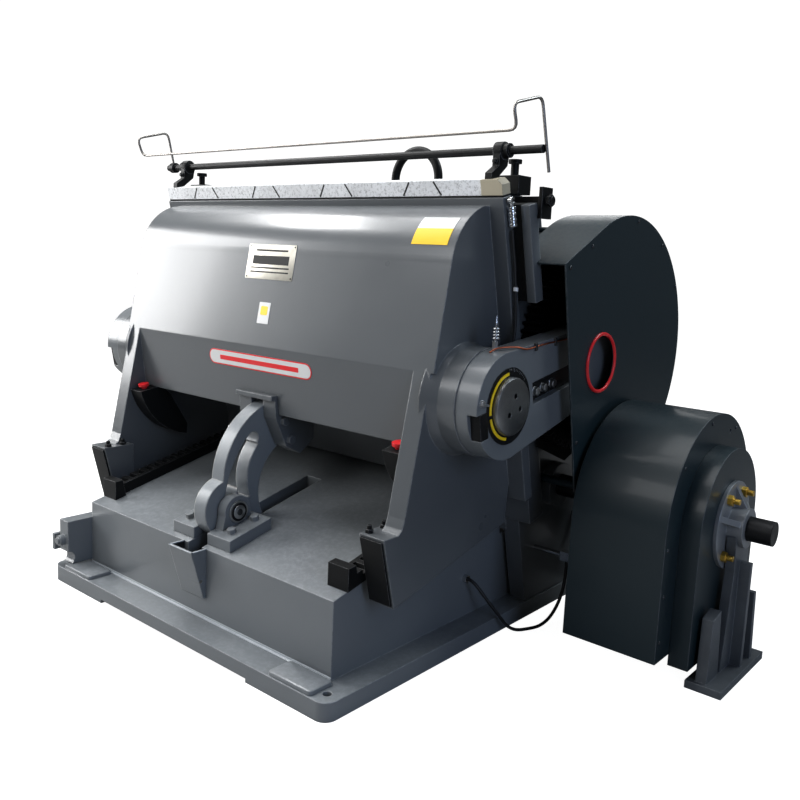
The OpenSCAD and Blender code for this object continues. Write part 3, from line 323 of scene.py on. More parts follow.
EDGES = make_edge_group()
FILM = make_film_group()


# ---------- finishes ----------
def start_material(name):
    material = bpy.data.materials.new(name)
    material.use_nodes = True
    tree = material.node_tree
    return material, tree, tree.nodes["Principled BSDF"]


def shade(rgb, amount):
    return tuple(min(1.0, channel * amount) for channel in rgb)


# the colour of paint corners: bare metal where the paint is worn, and also a painted highlight along the
# edges
BARE_METAL_AND_HIGHLIGHT = (0.36, 0.37, 0.38)


def painted(name, rgb, rough, edge, wear_and_highlight, peel, waves, coat=0.0, bare_and_highlight=BARE_METAL_AND_HIGHLIGHT, gleam=0.5):
    """Sprayed paint, dusty on top and lightened on corners that are rounded by edge: worn to bare metal,
    and also a painted highlight.
    """
    material, tree, shader = start_material(name)
    edges = place_group(tree, EDGES, Radius=edge * MM, Wear=wear_and_highlight)
    film = place_group(tree, FILM, Peel=peel)
    base = mix_colour(tree, film.outputs["Cloud"], shade(rgb, 0.95), shade(rgb, 1.05))
    dusty = mix_colour(tree, film.outputs["Dust"], base, shade(rgb, 1.45))
    # corners lighten towards bare metal: wear, and also a painted highlight along the edges
    colour = mix_colour(tree, edges.outputs["Mask"], dusty, bare_and_highlight)
    tree.links.new(colour, shader.inputs["Base Color"])
    roughen(tree, shader, rough, (film.outputs["Dust"], 0.22), (film.outputs["Cloud"], 0.07))
    shader.inputs["Specular IOR Level"].default_value = gleam
    shader.inputs["Coat Weight"].default_value = coat
    shader.inputs["Coat Roughness"].default_value = 0.12
    bumped(tree, shader, film.outputs["Height"], edges.outputs["Normal"], waves, distance=1.2)
    return material


def metal(name, rgb, rough, edge=2, streak=0.25, stretch=(1.0, 1.0, 30.0), grime=0.25):
    """Turned or ground metal: fine streaks along one axis, with oily grime in clouds."""
    material, tree, shader = start_material(name)
    edges = place_group(tree, EDGES, Radius=edge * MM, Wear=0.2)
    place = tree.nodes.new("ShaderNodeTexCoord")
    mapping = tree.nodes.new("ShaderNodeMapping")
    mapping.inputs["Scale"].default_value = stretch
    tree.links.new(place.outputs["Object"], mapping.inputs["Vector"])
    lines = noise(tree, scale=60.0, detail=4.0, roughness=0.6, coordinates=mapping.outputs["Vector"])
    cloud = ramp(tree, noise(tree, scale=14.0, detail=5.0, roughness=0.65), low=0.35, high=0.7)
    base = mix_colour(tree, cloud, rgb, shade(rgb, 1.0 - grime))
    tree.links.new(base, shader.inputs["Base Color"])
    shader.inputs["Metallic"].default_value = 1.0
    roughen(tree, shader, rough, (cloud, 0.14))
    bumped(tree, shader, lines, edges.outputs["Normal"], streak, distance=0.4)
    return material


def cast_metal(name, rgb, rough, metallic):
    """A rough casting: pitted all over, cloudy, and rubbed bright on its corners."""
    material, tree, shader = start_material(name)
    edges = place_group(tree, EDGES, Radius=4 * MM, Wear=0.5)
    pits = noise(tree, scale=170.0, detail=6.0, roughness=0.7)
    cloud = ramp(tree, noise(tree, scale=9.0, detail=5.0, roughness=0.6), low=0.3, high=0.7)
    base = mix_colour(tree, cloud, shade(rgb, 0.85), shade(rgb, 1.15))
    colour = mix_colour(tree, edges.outputs["Mask"], base, shade(rgb, 2.2))
    tree.links.new(colour, shader.inputs["Base Color"])
    shader.inputs["Metallic"].default_value = metallic
    roughen(tree, shader, rough - 0.1, (pits, 0.2))
    bumped(tree, shader, pits, edges.outputs["Normal"], strength=0.6, distance=0.6)
    return material


def plastic(name, rgb, rough, grain=0.1):
    """Moulded plastic, rubber or felt, all but even in colour."""
    material, tree, shader = start_material(name)
    edges = place_group(tree, EDGES, Radius=1.5 * MM, Wear=0.0)
    film = place_group(tree, FILM, Peel=0.6, Scale=2.0)
    base = mix_colour(tree, film.outputs["Cloud"], shade(rgb, 0.93), shade(rgb, 1.07))
    tree.links.new(base, shader.inputs["Base Color"])
    roughen(tree, shader, rough, (film.outputs["Cloud"], 0.08))
    bumped(tree, shader, film.outputs["Height"], edges.outputs["Normal"], grain, distance=0.6)
    return material


def speckled(name, light, dark):
    """A pale bar with a fine dark fleck and cloudy stains."""
    material, tree, shader = start_material(name)
    edges = place_group(tree, EDGES, Radius=2 * MM, Wear=0.3)
    fleck = ramp(tree, noise(tree, scale=95.0, detail=7.0, roughness=0.8), low=0.50, high=0.63)
    stain = ramp(tree, noise(tree, scale=7.0, detail=4.0, roughness=0.6), low=0.45, high=0.75)
    base = mix_colour(tree, fleck, light, dark)
    colour = mix_colour(tree, math_node(tree, "MULTIPLY", stain, 0.35), base, dark)
    tree.links.new(colour, shader.inputs["Base Color"])
    roughen(tree, shader, 0.35, (fleck, 0.2))
    bumped(tree, shader, fleck, edges.outputs["Normal"], strength=0.15, distance=0.5)
    return material


GREY = (0.108, 0.117, 0.124)
GUARD = (0.009, 0.021, 0.027)
BLACK = (0.006, 0.0065, 0.007)
EVEN = (1.0, 1.0, 1.0)
PAINTS = {
    "grey_paint": dict(rgb=GREY, rough=0.26, edge=6, wear_and_highlight=0.55, peel=0.4, waves=0.22, coat=0.25),
    # the same grey paint made lighter on the base: painted light for the stronger light the base takes
    "base_paint": dict(
        rgb=shade(GREY, 1.55), rough=0.30, edge=6, wear_and_highlight=0.75, peel=0.5, waves=0.36, coat=0.2
    ),
    "arm_paint": dict(
        rgb=shade(GREY, 1.30), rough=0.28, edge=5, wear_and_highlight=0.45, peel=0.4, waves=0.3, coat=0.2
    ),
    "guard_paint": dict(rgb=GUARD, rough=0.40, edge=5, wear_and_highlight=0.3, peel=0.3, waves=0.16, coat=0.12),
    "black_paint": dict(rgb=BLACK, rough=0.42, edge=3, wear_and_highlight=0.5, peel=0.4, waves=0.25, gleam=0.22),
    "beige_paint": dict(rgb=(0.47, 0.42, 0.31), rough=0.42, edge=3, wear_and_highlight=0.3, peel=0.4, waves=0.2),
    "worn_casting": dict(
        rgb=shade(GREY, 1.9), rough=0.32, edge=8, wear_and_highlight=1.0, peel=0.6, waves=0.5, coat=0.15,
        bare_and_highlight=(0.50, 0.48, 0.45),
    ),
    # a light grey that stands for highlight lines on the base's fillet and the hopper's rim: painted
    # highlight
    "bright_edge": dict(
        rgb=shade(GREY, 3.2), rough=0.28, edge=2, wear_and_highlight=0.6, peel=0.5, waves=0.4, coat=0.2,
        bare_and_highlight=(0.7, 0.7, 0.7),
    ),
}
CASTINGS = {
    "dark_casting": dict(rgb=(0.12, 0.13, 0.14), rough=0.46, metallic=0.4),
    "grey_casting": dict(rgb=(0.24, 0.25, 0.26), rough=0.42, metallic=0.4),
    "black_casting": dict(rgb=(0.030, 0.034, 0.037), rough=0.44, metallic=0.5),
}
METALS = {
    "steel": dict(rgb=(0.52, 0.53, 0.54), rough=0.28),
    "dark_steel": dict(rgb=(0.10, 0.105, 0.11), rough=0.34, edge=3, streak=0.2),
    "oily_gear": dict(rgb=(0.035, 0.036, 0.038), rough=0.42, edge=3, streak=0.2),
    "wire_steel": dict(rgb=(0.36, 0.34, 0.32), rough=0.36, edge=1, streak=0.1),
    "chrome": dict(rgb=(0.72, 0.73, 0.74), rough=0.14, edge=1, streak=0.08),
    "copper": dict(rgb=(0.55, 0.17, 0.09), rough=0.34, edge=1, streak=0.1),
    "yellow_zinc": dict(rgb=(0.72, 0.48, 0.10), rough=0.30, streak=0.15),
    "dial_metal": dict(rgb=(0.34, 0.345, 0.35), rough=0.32, streak=0.12, stretch=EVEN, grime=0.3),
    "plate_metal": dict(
        rgb=(0.58, 0.56, 0.50), rough=0.36, edge=1, streak=0.1, stretch=(1.0, 30.0, 1.0)
    ),
}
PLASTICS = {
    "red_plastic": dict(rgb=(0.80, 0.022, 0.028), rough=0.28),
    "yellow_plastic": dict(rgb=(0.95, 0.66, 0.015), rough=0.36),
    "amber_label": dict(rgb=(0.86, 0.55, 0.0), rough=0.4, grain=0.04),
    "white_label": dict(rgb=(0.72, 0.72, 0.71), rough=0.35, grain=0.04),
    "rubber": dict(rgb=(0.013, 0.013, 0.014), rough=0.46, grain=0.25),
    # near-black: painted shade in the guards and hopper, painted shadow beside the bed and under the pale
    # bar; also the bar's dark lines
    "felt": dict(rgb=(0.010, 0.010, 0.010), rough=0.8, grain=0.6),
}
BARS = {"speckled_bar": dict(light=(0.86, 0.87, 0.88), dark=(0.42, 0.42, 0.42))}
MATERIALS = {
    name: make_finish(name, **values)
    for make_finish, finishes in (
        (painted, PAINTS), (cast_metal, CASTINGS), (metal, METALS), (plastic, PLASTICS), (speckled, BARS),
    )
    for name, values in finishes.items()
}

NODE_FINISHES = {
    "grey_paint": "platen_casting arm_bracket bed_frame",
    "base_paint": "base_casting arm_pocket roller_blocks stop_bracket motor motor_bracket",
    "arm_paint": "side_arm_right side_arm_left",
    "guard_paint": "gear_guard_right gear_guard_left flywheel_guard clutch_cover",
    "black_paint": "track_racks chase_clamps lifting_ring switch_bracket stop_boxes foot_fittings"
    " safety_rod",
    "worn_casting": "cam_arm",
    "grey_casting": "bearing_spider",
    "dark_casting": "outboard_stand chase_frame",
    "black_casting": "flywheel motor_pulley",
    "steel": "roller_pin cam_roller platen_plate",
    "oily_gear": "bull_gear_right bull_gear_left cross_shaft drive_shaft gear_stubs",
    "dark_steel": "crank_pin_right crank_pin_left",
    "chrome": "oiler_right oiler_left conduit",
    "wire_steel": "safety_wire",
    "yellow_zinc": "spider_nuts",
    "red_plastic": "guard_ring stop_button_right stop_button_left",
    "rubber": "drive_belts",
    "speckled_bar": "top_strip",
    "beige_paint": "strip_block",
    # the spacer under the pale bar is near-black as a painted shadow in the gap beneath it
    "felt": "strip_spacer",
}


def dress_nodes():
    """Gives each node that stays in sight its finish."""
    for finish, names in NODE_FINISHES.items():
        for name in names.split():
            materials = nodes[name].data.materials
            for index in range(len(materials)):
                materials[index] = MATERIALS[finish]


# ---------- mesh helpers, with sizes in millimetres ----------
SIDES = ((1, "right"), (-1, "left"))
SHARP_ANGLE = 35
TOUCHING = 1e-6
# a bolt's washer and head, as shares of its width across the flats
WASHER_RADIUS, WASHER_TALL, WASHER_BEVEL = 0.66, 0.12, 0.03
HEAD_RADIUS, HEAD_TALL, HEAD_BEVEL = 0.575, 0.55, 0.07
# a domed screw head, as shares of its radius
DOME_TALL, DOME_TOP, DOME_BEVEL = 0.55, 0.72, 0.12


def finish_piece(name, mesh, body, material, smooth=True):
    """Closes a mesh, turns its faces outwards, and puts it on its body in its slot."""
    bmesh.ops.remove_doubles(mesh, verts=mesh.verts, dist=TOUCHING)
    bmesh.ops.recalc_face_normals(mesh, faces=mesh.faces)
    data = bpy.data.meshes.new(name)
    mesh.to_mesh(data)
    mesh.free()
    for face in data.polygons:
        face.use_smooth = smooth
    if smooth:
        data.set_sharp_from_angle(angle=math.radians(SHARP_ANGLE))
    piece = bpy.data.objects.new(name, data)
    bpy.context.scene.collection.objects.link(piece)
    data.materials.append(MATERIALS[material])
    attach(piece, body)
    return piece


def frame_at(place, direction, up=(0, 0, 1)):
    """A matrix whose Z points along direction and whose Y is as near to up as it can be."""
    z = Vector(direction).normalized()
    x = Vector(up).cross(z)
    x = x.normalized() if x.length > TOUCHING else Vector((1, 0, 0))
    y = z.cross(x)
    turn = Matrix((x, y, z)).transposed().to_4x4()
    return Matrix.Translation(place) @ turn


def once(items):
    """The items without repeats, in the order given."""
    return list(dict.fromkeys(items))


def bevel_edges(mesh, edges, offset):
    """Two-step bevels of one width on the edges given."""
    bmesh.ops.bevel(
        mesh, geom=edges, offset=offset * MM, segments=2, profile=0.5, affect="EDGES", material=-1
    )


def extrude(mesh, faces, move):
    """Pulls faces out into a solid by a move in metres, and gives back the faces at its far end."""
    lifted = bmesh.ops.extrude_face_region(mesh, geom=faces)["geom"]
    moved = [item for item in lifted if isinstance(item, bmesh.types.BMVert)]
    bmesh.ops.translate(mesh, verts=moved, vec=move)
    return [item for item in lifted if isinstance(item, bmesh.types.BMFace)]


def add_drum(mesh, matrix, radius, tall, segments, top=None, bevel=0):
    """A capped drum that stands on the matrix's XY plane."""
    made = bmesh.ops.create_cone(
        mesh, cap_ends=True, segments=segments, radius1=radius * MM,
        radius2=(radius if top is None else top) * MM, depth=tall * MM,
        matrix=matrix @ Matrix.Translation((0, 0, tall * MM / 2)),
    )
    if bevel:
        axis = matrix.to_3x3() @ Vector((0, 0, 1))
        lid = matrix @ Vector((0, 0, tall * MM))
        rim = once(
            edge
            for vert in made["verts"]
            for edge in vert.link_edges
            if all(abs((end.co - lid).dot(axis)) < TOUCHING for end in edge.verts)
        )
        bevel_edges(mesh, rim, bevel)


def add_bolt(mesh, place, direction, across):
    """A washer and a chamfered hexagon head."""
    matrix = frame_at(place, direction)
    add_drum(mesh, matrix, across * WASHER_RADIUS, across * WASHER_TALL, 28, bevel=across * WASHER_BEVEL)
    seat = matrix @ Matrix.Translation((0, 0, across * WASHER_TALL * MM))
    add_drum(mesh, seat, across * HEAD_RADIUS, across * HEAD_TALL, 6, bevel=across * HEAD_BEVEL)


def add_screw(mesh, place, direction, radius):
    """A low domed screw head."""
    matrix = frame_at(place, direction)
    add_drum(
        mesh, matrix, radius, radius * DOME_TALL, 20, top=radius * DOME_TOP, bevel=radius * DOME_BEVEL
    )


def add_slab(mesh, matrix, wide, tall, thick, corner=0, rim=0):
    """A plate that lies on the matrix's XY plane, with rounded corners and a bevelled rim."""
    made = bmesh.ops.create_grid(
        mesh, x_segments=1, y_segments=1, size=0.5,
        matrix=matrix @ Matrix.Diagonal((wide * MM, tall * MM, 1, 1)),
    )
    corners = made["verts"]
    if corner:
        corners = bmesh.ops.bevel(
            mesh, geom=corners, offset=corner * MM, segments=4, profile=0.5, affect="VERTICES",
            material=-1,
        )["verts"]
    faces = once(face for vert in corners for face in vert.link_faces)
    lid = extrude(mesh, faces, matrix.to_3x3() @ Vector((0, 0, thick * MM)))
    if rim:
        bevel_edges(mesh, once(edge for face in lid for edge in face.edges), rim)


def add_profile(mesh, points, left, right):
    """A plate cut to an outline of (deep, high) points, from left to right."""
    face = mesh.faces.new([mesh.verts.new(at(left, deep, high)) for deep, high in points])
    extrude(mesh, [face], Vector(((right - left) * MM, 0, 0)))


def make_tube(name, points, radius, body, material):
    """A round tube on one smooth curve through the points, with its radius in metres."""
    data = bpy.data.curves.new(name, "CURVE")
    data.dimensions = "3D"
    data.bevel_depth = radius
    data.bevel_resolution = 5
    data.resolution_u = 8
    data.use_fill_caps = True
    spline = data.splines.new("NURBS")
    spline.points.add(len(points) - 1)
    for point, place in zip(spline.points, points):
        point.co = (*place, 1)
    spline.use_endpoint_u = True
    spline.order_u = 4
    curve = bpy.data.objects.new(name, data)
    bpy.context.scene.collection.objects.link(curve)
    data.materials.append(MATERIALS[material])
    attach(curve, body)
    return curve


def between(before, start, end, after, share):
    """The place at a share of the way from start to end, on a curve that also minds its neighbours."""
    line = end - before
    bend = 2 * before - 5 * start + 4 * end - after
    twist = 3 * start - before - 3 * end + after
    return 0.5 * (2 * start + line * share + bend * share**2 + twist * share**3)


def smooth_route(points, steps):
    """Points on a smooth curve that passes through each given point."""
    last = len(points) - 1
    route = []
    for index in range(last):
        before, after = points[max(index - 1, 0)], points[min(index + 2, last)]
        for step in range(steps):
            route.append(between(before, points[index], points[index + 1], after, step / steps))
    return route + [points[last]]


# ---------- cables, with their radii in metres ----------
CABLE_RADIUS = 0.0055
CABLE_ROUTE = [
    (634, 735, 190), (641, 735, 190), (649, 735, 190), (664, 736, 186), (685, 742, 168), (715, 760, 125),
    (740, 790, 76), (754, 820, 36), (770, 855, 14), (790, 900, 10), (810, 945, 14), (826, 985, 40),
    (836, 1020, 90), (840, 1040, 150), (840, 1045, 212), (840, 1045, 238),
]
HOSE_RADIUS = 0.0045
HOSE_ROUTE = [
    (820, 603, 1335), (820, 610, 1300), (820, 626, 1240), (820, 640, 1160), (820, 650, 1080),
    (817, 652, 1010), (810, 646, 962), (800, 633, 936),
]
CABLE_STEPS = 3


def make_floor_cable():
    """The black cable that hangs from the base's side and lies on the floor."""
    route = smooth_route([at(*point) for point in CABLE_ROUTE], CABLE_STEPS)
    cable = make_tube("floor_cable", route, CABLE_RADIUS, "frame", "rubber")
    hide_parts("base_cable")


def make_switch_cable():
    """The switch's cable, held down the platen's edge."""
    route = smooth_route([at(*point) for point in HOSE_ROUTE], CABLE_STEPS)
    hose = make_tube("switch_cable", route, HOSE_RADIUS, "platen", "rubber")
    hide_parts("switch_hose")


# ---------- labels and plates on the platen, all blank ----------
# the crease across the platen's face, where the lower panel and the sloping face meet
CREASE_DEEP = 346
CREASE_HIGH = 927
# how far the panel and the face lean, over how tall they are
PANEL_TILT = math.atan2(28, 224)
FACE_TILT = math.atan2(58, 316)
# the middle and the radius of the rounded shoulder above the face
SHOULDER_DEEP = 600.7
SHOULDER_HIGH = 1206.9
SHOULDER_RADIUS = 200.6
SHOULDER_STEPS = 8

PANEL_PLATE_X = 5
PANEL_PLATE_HIGH = 869
# name, width and height, corner, thickness, how far out the layer starts, and its finish
PANEL_PLATE_LAYERS = (
    ("panel_plate_edge", (520, 54), 26, 1.0, 0, "red_plastic"),
    ("panel_plate", (512, 46), 22, 0.4, 1.0, "white_label"),
    ("panel_plate_bar", (400, 16), 3, 0.2, 1.4, "red_plastic"),
)

NAME_PLATE_X = 8
NAME_PLATE_HIGH = 1207
NAME_PLATE_SIZE = (235, 118)
NAME_PLATE_THICK = 1.2
# where each plain bar lies on the platen, its width and its height
NAME_PLATE_BARS = ((1245, 160, 6), (1213, 180, 30), (1187, 190, 5), (1173, 190, 5))
NAME_PLATE_SCREWS = (1156, 1258)
NAME_PLATE_SCREW_X = 110
NAME_PLATE_SCREW_RADIUS = 3
MARK_THICK = 0.2

STICKER_X = 15
STICKER_HIGH = 1038
STICKER_SIZE = (56, 72)
STICKER_THICK = 0.8
STICKER_MARK_HIGH = 1046
STICKER_MARK_SIZE = (34, 30)

SHOULDER_LABEL_X = (597, 729)
SHOULDER_LABEL_THICK = 0.6
SHOULDER_LABELS = (
    ("shoulder_label_low", 1283, 1330, "amber_label"),
    ("shoulder_label_high", 1330, 1362, "white_label"),
)


def panel_frame(x, high, lift=0):
    """A place on the upright lower panel of the platen."""
    deep = CREASE_DEEP + (CREASE_HIGH - high) * math.tan(PANEL_TILT)
    normal = Vector((0, -math.cos(PANEL_TILT), -math.sin(PANEL_TILT)))
    return frame_at(at(x, deep, high) + normal * lift * MM, normal)


def face_frame(x, high, lift=0):
    """A place on the platen's sloping face above the crease."""
    deep = CREASE_DEEP + (high - CREASE_HIGH) * math.tan(FACE_TILT)
    normal = Vector((0, -math.cos(FACE_TILT), math.sin(FACE_TILT)))
    return frame_at(at(x, deep, high) + normal * lift * MM, normal)


def make_plate(name, place, size, thick, corner, material, rim=0):
    """One flat plate that rides on the platen's casting."""
    mesh = bmesh.new()
    add_slab(mesh, place, *size, thick, corner, rim)
    finish_piece(name, mesh, "platen", material)


def make_panel_plate():
    """The long red-edged plate on the lower panel, with one plain bar."""
    for name, size, corner, thick, lift, finish in PANEL_PLATE_LAYERS:
        place = panel_frame(PANEL_PLATE_X, PANEL_PLATE_HIGH, lift)
        make_plate(name, place, size, thick, corner, finish)


def make_name_plate():
    """A bare metal plate with four screws and plain bars in place of its rows."""
    place = face_frame(NAME_PLATE_X, NAME_PLATE_HIGH)
    make_plate("blank_plate", place, NAME_PLATE_SIZE, NAME_PLATE_THICK, 4, "plate_metal", rim=0.4)
    marks = bmesh.new()
    for high, wide, tall in NAME_PLATE_BARS:
        add_slab(marks, face_frame(NAME_PLATE_X, high, NAME_PLATE_THICK), wide, tall, MARK_THICK)
    for side in (-1, 1):
        for high in NAME_PLATE_SCREWS:
            corner = face_frame(NAME_PLATE_X + side * NAME_PLATE_SCREW_X, high, NAME_PLATE_THICK)
            add_screw(marks, corner.translation, corner.col[2][:3], NAME_PLATE_SCREW_RADIUS)
    finish_piece("blank_plate_marks", marks, "platen", "black_paint")


def make_sticker():
    """A small white sticker with one plain yellow patch."""
    place = face_frame(STICKER_X, STICKER_HIGH)
    make_plate("small_plate", place, STICKER_SIZE, STICKER_THICK, 3, "white_label")
    patch = face_frame(STICKER_X, STICKER_MARK_HIGH, STICKER_THICK)
    make_plate("small_plate_mark", patch, STICKER_MARK_SIZE, MARK_THICK, 4, "yellow_plastic")


def make_shoulder_label(name, low, high, finish):
    """A thin label bent over the platen's rounded shoulder, between two heights."""
    start, end = (math.asin((edge - SHOULDER_HIGH) / SHOULDER_RADIUS) for edge in (low, high))
    deep = SHOULDER_DEEP - SHOULDER_RADIUS * math.cos(start)
    mesh = bmesh.new()
    edge = mesh.edges.new([mesh.verts.new(at(x, deep, low)) for x in SHOULDER_LABEL_X])
    bmesh.ops.spin(
        mesh, geom=[edge], cent=at(0, SHOULDER_DEEP, SHOULDER_HIGH), axis=(1, 0, 0),
        angle=start - end, steps=SHOULDER_STEPS,
    )
    bmesh.ops.solidify(mesh, geom=list(mesh.faces), thickness=SHOULDER_LABEL_THICK * MM)
    finish_piece(name, mesh, "platen", finish)


def make_labels():
    """Every plate and label on the platen."""
    make_panel_plate()
    make_name_plate()
    make_sticker()
    for label in SHOULDER_LABELS:
        make_shoulder_label(*label)


# ---------- marks on the pale bar on top of the platen ----------
LEAN = math.radians(14)
BED_FOOT = 1010
BAR_OUT = 88
BAR_ALONG = 1519
MARK_PLACES = (-562, -214, 141, 512)
MARK_HALF = 61
MARK_LEAN = 33
MARK_SIZE = (5.5, 49, 0.5)


def bed_frame_at(x, out, along):
    """A place set out from the bed's face, which looks at the operator."""
    normal = Vector((0, -math.cos(LEAN), -math.sin(LEAN)))
    rise = Vector((0, -math.sin(LEAN), math.cos(LEAN)))
    place = at(x, BED_FOOT, 0) + normal * out * MM + rise * along * MM
    return frame_at(place, normal, rise)


def make_bar_marks():
    """Pairs of thin leaning lines along the pale bar."""
    lines = bmesh.new()
    for middle in MARK_PLACES:
        for side in (-1, 1):
            place = bed_frame_at(middle + side * MARK_HALF, BAR_OUT, BAR_ALONG)
            turn = Matrix.Rotation(side * math.radians(MARK_LEAN), 4, "Z")
            add_slab(lines, place @ turn, *MARK_SIZE, corner=1)
    finish_piece("bar_marks", lines, "platen", "felt")


# ---------- the safety rod's brackets ----------
ROD_DEEP, ROD_HIGH = pivot("safety_bar_swing")
BRACKET_HALF = 12
BRACKET_X = span("rod_brackets", X)[1] - 14
BRACKET_OUTLINE = (
    (556, 1476), (590, 1484.5), (634, 1520), (642, 1562), (592, 1562), (590, 1516), (556, 1494),
)
CLAMP_RADIUS = 26
CLAMP_WIDE = 30
CLAMP_BOLT = (588, 1530)
CLAMP_BOLT_ACROSS = 13


def make_rod_brackets():
    """Upright posts on the pale bar, each with a split clamp round the rod."""
    mesh = bmesh.new()
    for side in (-1, 1):
        middle = side * BRACKET_X
        add_profile(mesh, BRACKET_OUTLINE, middle - BRACKET_HALF, middle + BRACKET_HALF)
        clamp = frame_at(at(middle - CLAMP_WIDE / 2, ROD_DEEP, ROD_HIGH), (1, 0, 0))
        add_drum(mesh, clamp, CLAMP_RADIUS, CLAMP_WIDE, 40, bevel=3)
        add_bolt(mesh, at(middle, *CLAMP_BOLT), (0, -1, 0), CLAMP_BOLT_ACROSS)
    posts = finish_piece("rod_posts", mesh, "platen", "black_paint")
    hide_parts("rod_brackets")


# ---------- the switch, the rail and a strip of painted shadow beside the bed ---
SWITCH_X = sum(span("limit_switch", X)) / 2
SWITCH_OUT = 68
BARREL_FOOT = 1404
BARREL_RINGS = 7
RING_PITCH = 8
RING_TALL = 8.5
RING_RADII = (13.5, 11.5)
NECK_FOOT = 1458
NECK_RADIUS = 6
NECK_TALL = 16
ROLLER_ALONG = 1478
ROLLER_RADIUS = 11
ROLLER_WIDE = 14
CABLE_CLIP_DEEP = 640
CABLE_CLIP_HIGH = 1158
CABLE_CLIP_RADIUS = 7.5
CABLE_CLIP_TALL = 12
CABLE_CLIP_LEAN = (0, 0.1, 1)
# name, its sides across, how far it stands out from the bed's face, and its finish
# the near-black strip is painted shadow: the dark gap between the platen and the rail
BED_EDGES = (("bed_shadow_strip", 765, 834, 30, "felt"), ("bed_rail", 834, 864, 42, "grey_paint"))
BED_EDGE_ALONG = 1315
BED_EDGE_LONG = 290


def make_switch():
    """A knurled barrel with a roller on top and a pale clip on its cable."""
    upright = Matrix.Rotation(math.radians(-90), 4, "X")
    mesh = bmesh.new()
    for step in range(BARREL_RINGS):
        ring = bed_frame_at(SWITCH_X, SWITCH_OUT, BARREL_FOOT + step * RING_PITCH) @ upright
        add_drum(mesh, ring, RING_RADII[step % 2], RING_TALL, 14, bevel=1)
    neck = bed_frame_at(SWITCH_X, SWITCH_OUT, NECK_FOOT) @ upright
    add_drum(mesh, neck, NECK_RADIUS, NECK_TALL, 20)
    hub = bed_frame_at(SWITCH_X - ROLLER_WIDE / 2, SWITCH_OUT, ROLLER_ALONG).translation
    add_drum(mesh, frame_at(hub, (1, 0, 0)), ROLLER_RADIUS, ROLLER_WIDE, 32, bevel=1.5)
    barrel = finish_piece("switch_barrel", mesh, "platen", "chrome")
    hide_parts("limit_switch")
    clip = bmesh.new()
    foot = frame_at(at(SWITCH_X, CABLE_CLIP_DEEP, CABLE_CLIP_HIGH), CABLE_CLIP_LEAN)
    add_drum(clip, foot, CABLE_CLIP_RADIUS, CABLE_CLIP_TALL, 24, bevel=1)
    finish_piece("switch_cable_clip", clip, "platen", "white_label")


def make_bed_edges():
    """A near-black strip of painted shadow and a grey rail that stand beside the bed, clear of the gear and
    the arm.
    """
    for name, left, right, out, finish in BED_EDGES:
        mesh = bmesh.new()
        for side in (-1, 1):
            foot = bed_frame_at(side * (left + right) / 2, 0, BED_EDGE_ALONG)
            add_slab(mesh, foot, right - left, BED_EDGE_LONG, out, rim=2)
        finish_piece(name, mesh, "frame", finish)


# ---------- places on the side arms ----------
ARM_IN, ARM_OUT = span("side_arm_right", X)
ARM_TILT = 10.7
BOSS_DEEP, BOSS_HIGH = pivot("dial_right_turn")


def about_boss(side, radius, angle, x):
    """A place round the boss: the angle runs from the back, over the top, to the front."""
    turn = math.radians(angle)
    return at(side * x, BOSS_DEEP + radius * math.cos(turn), BOSS_HIGH + radius * math.sin(turn))


def along_arm(side, reach, rise, x):
    """A place in the arm's own lines: along it from the boss, and square to it."""
    tilt = math.radians(ARM_TILT)
    return at(
        side * x,
        BOSS_DEEP + reach * math.cos(tilt) - rise * math.sin(tilt),
        BOSS_HIGH + reach * math.sin(tilt) + rise * math.cos(tilt),
    )


def arm_frame(side, reach, rise, x):
    """A matrix on the arm that faces outwards and is turned to run along it."""
    turn = Matrix.Rotation(math.radians(ARM_TILT * side), 4, "Z")
    return frame_at(along_arm(side, reach, rise, x), (side, 0, 0)) @ turn


# ---------- dials ----------
DIAL_IN, DIAL_OUT = span("dial_right", X)
DIAL_LOW, DIAL_TOP = span("dial_right", HIGH)
DIAL_RADIUS = 84
DIAL_SINK = 2
DIAL_CHAMFER = 9
# start, end and radius of the neck, the drum and the lip
DIAL_STEPS = (
    (DIAL_IN, ARM_IN + 0.3, 62),
    (ARM_IN + 0.3, ARM_OUT - 10, 92),
    (ARM_OUT - 10, ARM_OUT, (DIAL_TOP - DIAL_LOW) / 2),
)
DIAL_SEGMENTS = 96
SPANNER_ANGLES = (84, 222, 346)
SPANNER_REACH = 31
SPANNER_RADIUS = 8
SPANNER_SEGMENTS = 24
# each lift says how far out from the arm's face a layer starts
SEAT_RADIUS = 111
SEAT_LIFT, SEAT_THICK = -0.2, 1
SCALE_INNER = 89
SCALE_OUTER = 97.5
SCALE_LIFT, SCALE_THICK = 0.7, 2.6
SCALE_ARCS = ((97, 190), (197, 266))
TICKS = 12
TICK_START = 44
TICK_PITCH = 4.5
TICK_WIDE = 0.9
TICK_SHORT_INNER = 101
TICK_LONG_INNER = 98
TICK_LONG_EVERY = 4
TICK_OUTER = 107
TICK_LIFT, TICK_THICK = 0.8, 0.4
# angles in degrees
FULL_TURN = 360
ARC_STEP = 4
ARC_FEWEST_STEPS = 3
# reach from the boss's middle and angle round it
POINTER_PLACE = (117, 173)
POINTER_TURN = -7
POINTER_SIZE = (34, 6, 3)
POINTER_BOLT_PLACE = (138, 171)
POINTER_BOLT_ACROSS = 15


def add_circle(mesh, matrix, radius, segments):
    """An open ring, and its edges."""
    ring = bmesh.ops.create_circle(
        mesh, cap_ends=False, segments=segments, radius=radius * MM, matrix=matrix
    )
    return once(edge for vert in ring["verts"] for edge in vert.link_edges)


